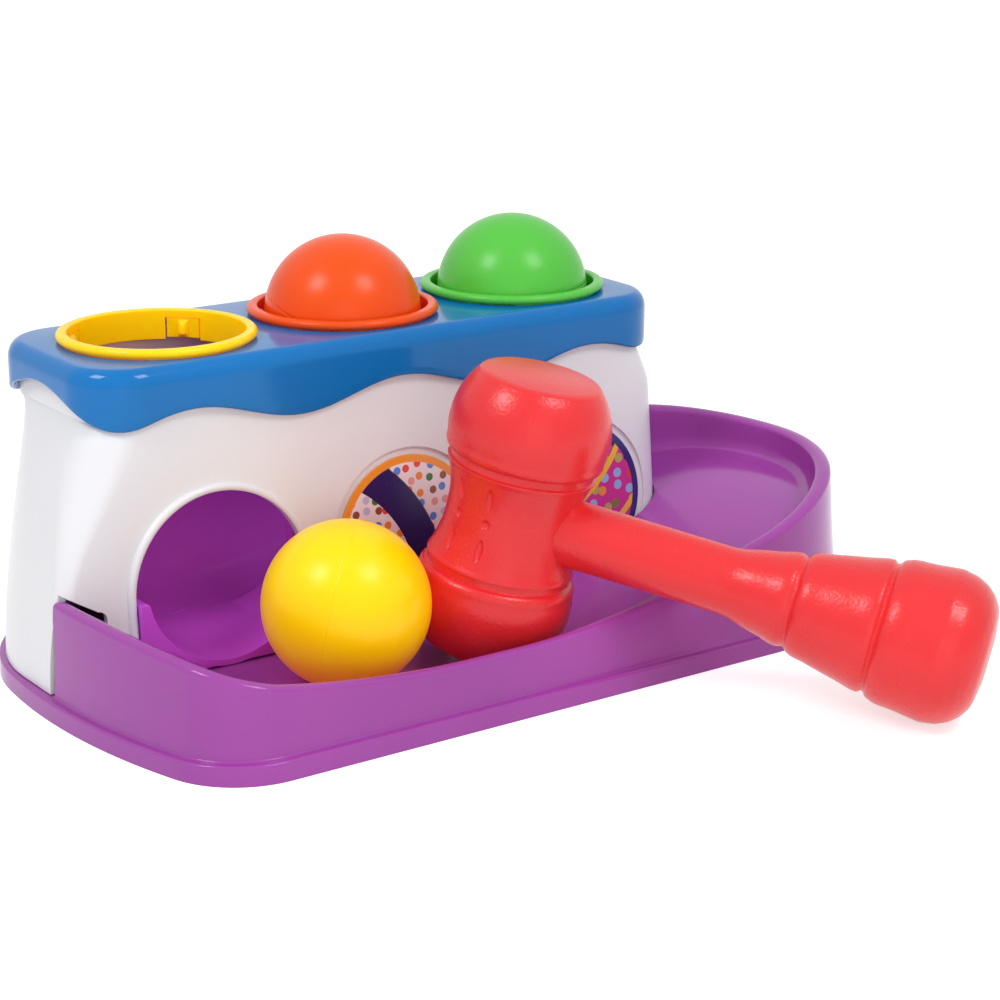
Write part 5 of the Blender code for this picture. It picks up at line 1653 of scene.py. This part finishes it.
@dataclass(frozen=True)
class PictureInk:
    """A printed disc of many-coloured spots, curved bands and an edge ring, drawn from its UV map.

    The map's middle is the disc's, and one unit is its radius. The bands are rings round a
    point beside the disc, so that they cross it as curves. Fields are the colours of ring,
    ground and spots, the spots in a radius, the bands' colour, middle, period, share of it and
    shift, then a spot's size in its cell, where the ring starts, how soft the edges are, how
    far the spots stray, and the roughness's range, waves per metre and finer layers.
    """

    slot: str
    ring: tuple[float, float, float]
    ground: tuple[float, float, float]
    spots: tuple
    spot_scale: float
    band: tuple[float, float, float]
    band_centre: tuple[float, float, float]
    band_period: float
    band_share: float
    band_shift: float
    spot_size: float = 0.30
    ring_start: float = 0.9
    spot_edge: float = 1.08
    band_edge: float = 0.015
    ring_edge: float = 0.01
    stray: float = 0.5
    gloss: tuple[float, float] = (0.22, 0.3)
    gloss_scale: float = 80.0
    gloss_detail: float = 3.0

    def build(self) -> bpy.types.Material:
        """Makes the material.

        Returns:
            The new material.
        """
        nodes = Nodes(bpy.data.materials.new(f"{self.slot}_{len(self.spots)}"))
        uv = nodes.add("UVMap", uv_map="disc").outputs[0]
        radius = nodes.add("VectorMath", {0: uv}, operation="LENGTH").outputs["Value"]
        cells = nodes.add("TexVoronoi", {"Vector": uv, "Scale": self.spot_scale, "Randomness": self.stray},
                          voronoi_dimensions="2D")
        pick = nodes.add("SeparateColor", {"Color": cells.outputs["Color"]}).outputs[0]
        inks = nodes.add("ValToRGB", {"Fac": pick})
        ramp = inks.color_ramp
        ramp.interpolation = "CONSTANT"
        ramp.elements[0].color = solid(self.spots[0])
        ramp.elements[1].color = solid(self.spots[-1])
        ramp.elements[1].position = 1 - 1 / len(self.spots)
        for index, ink in enumerate(self.spots[1:-1]):
            ramp.elements.new((index + 1) / len(self.spots)).color = solid(ink)
        spot_end = self.spot_size * self.spot_edge
        near = nodes.between(cells.outputs["Distance"], self.spot_size, spot_end, 1.0, 0.0)
        colour = nodes.mix(near, solid(self.ground), inks.outputs["Color"])
        away = nodes.add("VectorMath", {0: uv, 1: self.band_centre}, operation="DISTANCE").outputs["Value"]
        periods = nodes.maths("DIVIDE", nodes.maths("ADD", away, self.band_shift), self.band_period)
        turn = nodes.maths("FRACT", periods, 0.0)
        inside = nodes.between(turn, self.band_share, self.band_share + self.band_edge, 1.0, 0.0)
        colour = nodes.mix(inside, colour, solid(self.band))
        rim = nodes.between(radius, self.ring_start, self.ring_start + self.ring_edge, 0.0, 1.0)
        nodes.wire(nodes.mix(rim, colour, solid(self.ring)), "Base Color")
        gloss = nodes.noise(self.gloss_scale, self.gloss_detail)
        nodes.wire(nodes.between(gloss, 0.0, 1.0, *self.gloss), "Roughness")
        return nodes.owner


MIDDLE_PRINT = PictureInk(
    "printed_label", ring=(0.87, 0.30, 0.03), ground=(0.88, 0.78, 0.80),
    spots=((0.80, 0.06, 0.06), (0.05, 0.20, 0.05), (0.85, 0.25, 0.05), (0.10, 0.25, 0.70),
           (0.55, 0.50, 0.75), (0.30, 0.08, 0.04), (0.80, 0.35, 0.35)), spot_scale=6.2,
    band=(0.018, 0.012, 0.11), band_centre=(-1.55, -0.75, 0.0), band_period=1.05, band_share=0.40,
    band_shift=0.45)
RIGHT_PRINT = PictureInk(
    "printed_label", ring=(0.03, 0.02, 0.16), ground=(0.60, 0.035, 0.27),
    spots=((0.85, 0.28, 0.03), (0.22, 0.20, 0.03), (0.02, 0.02, 0.03), (0.30, 0.45, 0.75),
           (0.75, 0.05, 0.05), (0.45, 0.40, 0.10)), spot_scale=5.0,
    band=(0.87, 0.48, 0.03), band_centre=(-0.9, 1.5, 0.0), band_period=0.62, band_share=0.13,
    band_shift=0.1)


@dataclass
class Picture:
    """A printed disc set in its recess on the front."""

    node: str
    x: float
    ink: PictureInk
    lift: float = -0.7 * MM
    thickness: float = 0.5 * MM
    edge: float = 0.12 * MM
    middle: float = 0.2 * MM

    def build(self) -> None:
        """Makes the disc with a rounded edge and its UV map, and dresses it."""
        radius, edge = BENCH.picture_radius, self.edge
        top = self.lift + self.thickness
        profile = [(self.middle, self.lift), (radius, self.lift), (radius, top - edge)]
        for turn in np.linspace(0.0, math.pi / 2, 4)[1:]:
            profile.append((radius - edge * (1 - math.cos(turn)), top - edge + edge * math.sin(turn)))
        profile.append((self.middle, top))
        disc = turned(self.node.replace("disc", "print"), np.array(profile), 128)
        points = np.empty(len(disc.data.vertices) * 3)
        disc.data.vertices.foreach_get("co", points)
        owners = np.empty(len(disc.data.loops), dtype=np.int32)
        disc.data.loops.foreach_get("vertex_index", owners)
        flat = (points.reshape(-1, 3)[:, :2] / radius)[owners]
        layer = disc.data.uv_layers.new(name="disc")
        layer.data.foreach_set("uv", flat.reshape(-1))
        place(disc, picture_frame(self.x))
        dress(disc, self.ink, "bench", self.node)


# Screws

@dataclass
class Screws:
    """Pan-head screws with a cross recess, each placed by its name, X, Y and the Z of its seat.

    The head is flat out to the round start, a share of its radius, and rounded from there
    over the round share of its height. The cap share gives the flat top's inmost ring. The
    shank narrows from the point's start, a share of its length, to the tip's share of its
    radius.
    """

    places: tuple
    head: float = 3.3 * MM
    head_height: float = 2.0 * MM
    shank: float = 1.3 * MM
    length: float = 11.0 * MM
    cross_half_width: float = 0.45 * MM
    cross_reach: float = 1.9 * MM
    cross_depth: float = 1.1 * MM
    cap_share: float = 0.2
    round_start: float = 0.72
    round_share: float = 0.45
    point_start: float = 0.85
    tip_share: float = 0.4

    def build(self) -> None:
        """Makes and dresses each screw."""
        profile = [(self.head * self.cap_share, -self.head_height)]
        for turn in np.linspace(0.0, math.pi / 2, 7):
            out = self.round_start + (1 - self.round_start) * math.sin(turn)
            down = (1 - self.round_share) + self.round_share * math.cos(turn)
            profile.append((self.head * out, -self.head_height * down))
        profile += [(self.head, 0.0), (self.shank, 0.0), (self.shank, self.length * self.point_start),
                    (self.shank * self.tip_share, self.length)]
        for name, x, y, seat in self.places:
            screw = turned(name + "_part", np.array(profile), 36)
            half, reach = self.cross_half_width, self.cross_reach
            cross = np.array([(reach, -half), (reach, half), (half, half), (half, reach), (-half, reach),
                              (-half, half), (-reach, half), (-reach, -half), (-half, -half),
                              (-half, -reach), (half, -reach), (half, -half)])
            slot = prism(f"{name}_cross", cross, -self.head_height - OVERRUN,
                         self.cross_depth - self.head_height)
            work(screw, [(slot, Tool.CUT)])
            place(screw, Matrix.Translation((x, y, seat)))
            dress(screw, Zinc(), "bench", name)


# Light, floor and camera

@dataclass(frozen=True)
class Lamp:
    """A soft rectangular lamp aimed at the bench.

    Fields are its name, its place, its width and height, its power in watts, whether gloss
    shows it, and the point that it is aimed at.
    """

    name: str
    spot: tuple[float, float, float]
    size: tuple[float, float]
    power: float
    mirrored: bool = True
    aim: tuple[float, float, float] = (0.0, 0.0, 0.04)

    def build(self) -> None:
        """Hangs the lamp and aims it."""
        data = bpy.data.lights.new(self.name, "AREA")
        data.shape = "RECTANGLE"
        data.size, data.size_y = self.size
        data.energy = self.power
        lamp = bpy.data.objects.new(self.name, data)
        bpy.context.scene.collection.objects.link(lamp)
        lamp.location = self.spot
        lamp.visible_glossy = self.mirrored
        way = Vector(self.aim) - Vector(self.spot)
        lamp.rotation_euler = way.to_track_quat("-Z", "Y").to_euler()


@dataclass
class Studio:
    """A white floor, a pale world, three soft lamps and the photograph's camera.

    The camera's yaw turns it from +Y towards +X, its pitch tips it down, and its roll turns
    the picture. The floor lies just under the ground, and its lift is a glow that only the
    camera and gloss see. The ambient strength is the world's as a light; the camera and gloss
    see the world at full strength.
    """

    focal_pixels: float = 2463.1
    image_width: float = 1000.0
    sensor: float = 36.0
    clip_range: tuple[float, float] = (0.01, 20.0)
    camera_place: tuple[float, float, float] = (-0.40457, -0.65653, 0.26691)
    yaw: float = math.radians(35.383)
    pitch: float = math.radians(16.721)
    roll: float = math.radians(0.149)
    ambient: float = 0.50
    floor_grey: float = 0.82
    floor_lift: float = 0.60
    floor_reach: float = 3.0
    floor_drop: float = 0.05 * MM
    lamps: tuple[Lamp, ...] = (
        Lamp("left_soft_box", (-0.85, -0.06, 1.05), (0.40, 0.40), 5.4),
        Lamp("right_soft_box", (0.24, -0.81, 1.05), (0.40, 0.40), 4.6),
        Lamp("front_fill", (-0.50, -1.05, 0.32), (0.7, 0.5), 2.8, mirrored=False))

    def camera(self) -> None:
        """Puts the camera at the photograph's angle."""
        data = bpy.data.cameras.new("photo_camera")
        data.sensor_width = self.sensor
        data.lens = self.focal_pixels * self.sensor / self.image_width
        data.clip_start, data.clip_end = self.clip_range
        level = math.cos(self.pitch)
        ahead = Vector((math.sin(self.yaw) * level, math.cos(self.yaw) * level, -math.sin(self.pitch)))
        right = Vector((math.cos(self.yaw), -math.sin(self.yaw), 0.0))
        up = right.cross(ahead)
        right, up = (right * math.cos(self.roll) + up * math.sin(self.roll),
                     up * math.cos(self.roll) - right * math.sin(self.roll))
        camera = bpy.data.objects.new("photo_camera", data)
        bpy.context.scene.collection.objects.link(camera)
        camera.matrix_world = (Matrix.Translation(self.camera_place)
                               @ Matrix((right, up, -ahead)).transposed().to_4x4())
        bpy.context.scene.camera = camera

    def white(self) -> bpy.types.Material:
        """A matt white that the camera and gloss see brighter, but that still takes a shadow.

        Returns:
            The new material.
        """
        nodes = Nodes(bpy.data.materials.new("studio_white"))
        nodes.put({"Base Color": solid([self.floor_grey] * 3), "Roughness": 0.9,
                   "Specular IOR Level": 0.0, "Emission Color": solid([1.0] * 3)})
        nodes.wire(nodes.maths("MULTIPLY", nodes.seen(), self.floor_lift), "Emission Strength")
        return nodes.owner

    def floor(self) -> None:
        """A wide flat floor just under the ground."""
        reach = self.floor_reach
        points = np.array([(-reach, -reach, 0.0), (reach, -reach, 0.0), (reach, reach, 0.0),
                           (-reach, reach, 0.0)])
        floor = new_piece("studio_floor", points, [[0, 1, 2, 3]])
        floor.location.z = -self.floor_drop
        floor.data.materials.append(self.white())

    def world(self) -> None:
        """A pale world: softer as a light than as a background."""
        world = bpy.data.worlds.new("studio_world")
        nodes = Nodes(world)
        light = nodes.tree.nodes["Background"]
        light.inputs["Color"].default_value = solid([1.0] * 3)
        light.inputs["Strength"].default_value = self.ambient
        ground = nodes.add("Background", {"Color": solid([1.0] * 3)})
        mixed = nodes.add("MixShader", {0: nodes.seen(), 1: light.outputs[0], 2: ground.outputs[0]})
        nodes.tree.links.new(mixed.outputs[0], nodes.tree.nodes["World Output"].inputs["Surface"])
        bpy.context.scene.world = world

    def build(self) -> None:
        """Sets up the whole studio."""
        self.camera()
        self.floor()
        self.world()
        for lamp in self.lamps:
            lamp.build()
        bpy.context.scene.view_settings.view_transform = "Standard"


@dataclass(frozen=True)
class Fixings:
    """Where the screws go.

    Each base screw has its X and its side, -1 at the front and 1 at the back, and lies as far
    inside the wall's outer face as the inset says. The chute's screws stand on the middle
    line, and the lid's at the corners of a rectangle.
    """

    base_row: tuple = ((-102.6 * MM, -1), (86.0 * MM, -1), (-88.0 * MM, 1), (86.0 * MM, 1))
    base_inset: float = 6.0 * MM
    base_seat: float = 2.5 * MM
    post_middle: float = -0.8 * MM
    post_across: float = 91.1 * MM
    post_deep: float = 22.2 * MM
    lid_seat: float = 69.2 * MM

    def base(self) -> tuple:
        """Places of the base screws, whose bosses bite into the housing's wall at their tops.

        Returns:
            Pairs of X and Y.
        """
        height = BENCH.plinth + FIT_GAP + BENCH.boss_height
        back = SHELL.outline(height, 0.0, 5, 2, 2)
        back = back[back[:, 3] > 0]
        back = back[np.argsort(back[:, 0])]
        spots = []
        for x, side in self.base_row:
            face = SHELL.front(height) if side < 0 else float(np.interp(x, back[:, 0], back[:, 1]))
            spots.append((x, face - side * self.base_inset))
        return tuple(spots)

    def chute(self) -> tuple:
        """Places of the chute's screws, as pairs of X and Y."""
        return tuple((x, 0.0) for x in BENCH.chute_screw_x)

    def posts(self) -> tuple:
        """Places of the lid's posts and screws, as pairs of X and Y."""
        return tuple((self.post_middle + x * self.post_across, y * self.post_deep)
                     for x in (-1, 1) for y in (-1, 1))

    def screws(self) -> tuple:
        """Every screw, in the order of the solids.

        Returns:
            For each screw its solid's name, X, Y and the Z of its seat.
        """
        rows = (("base", self.base(), self.base_seat), ("chute", self.chute(), self.base_seat),
                ("lid", self.posts(), self.lid_seat))
        return tuple((f"{kind}_screw_{index + 1}", x, y, seat) for kind, spots, seat in rows
                     for index, (x, y) in enumerate(spots))


def main() -> None:
    logging.basicConfig(level=logging.INFO, format="%(message)s")
    fixings = Fixings()
    Tray(screw_spots=fixings.base() + fixings.chute()).build()
    Chute().build()
    Housing(screw_spots=fixings.base(), post_spots=fixings.posts()).build()
    Lid(post_spots=fixings.posts()).build()
    for side, finish in ((Side.LEFT, YELLOW), (Side.MIDDLE, ORANGE), (Side.RIGHT, GREEN)):
        Ring(side, finish).build()
    Ball("orange_ball", (0.0, 0.0, BENCH.seated_ball), ORANGE, (0.194, -0.264, 0.945)).build()
    Ball("green_ball", (BENCH.pitch, 0.0, BENCH.seated_ball), GREEN, (-0.097, 0.064, 0.993)).build()
    Ball("yellow_ball", (-47.34 * MM, -76.2 * MM, 30.8 * MM), YELLOW, (-0.691, 0.703, 0.167)).build()
    Hammer().build()
    Picture("middle_picture_disc", 0.0, MIDDLE_PRINT).build()
    Picture("right_picture_disc", BENCH.pitch, RIGHT_PRINT).build()
    Screws(fixings.screws()).build()
    Studio().build()


if __name__ == "__main__":
    main()
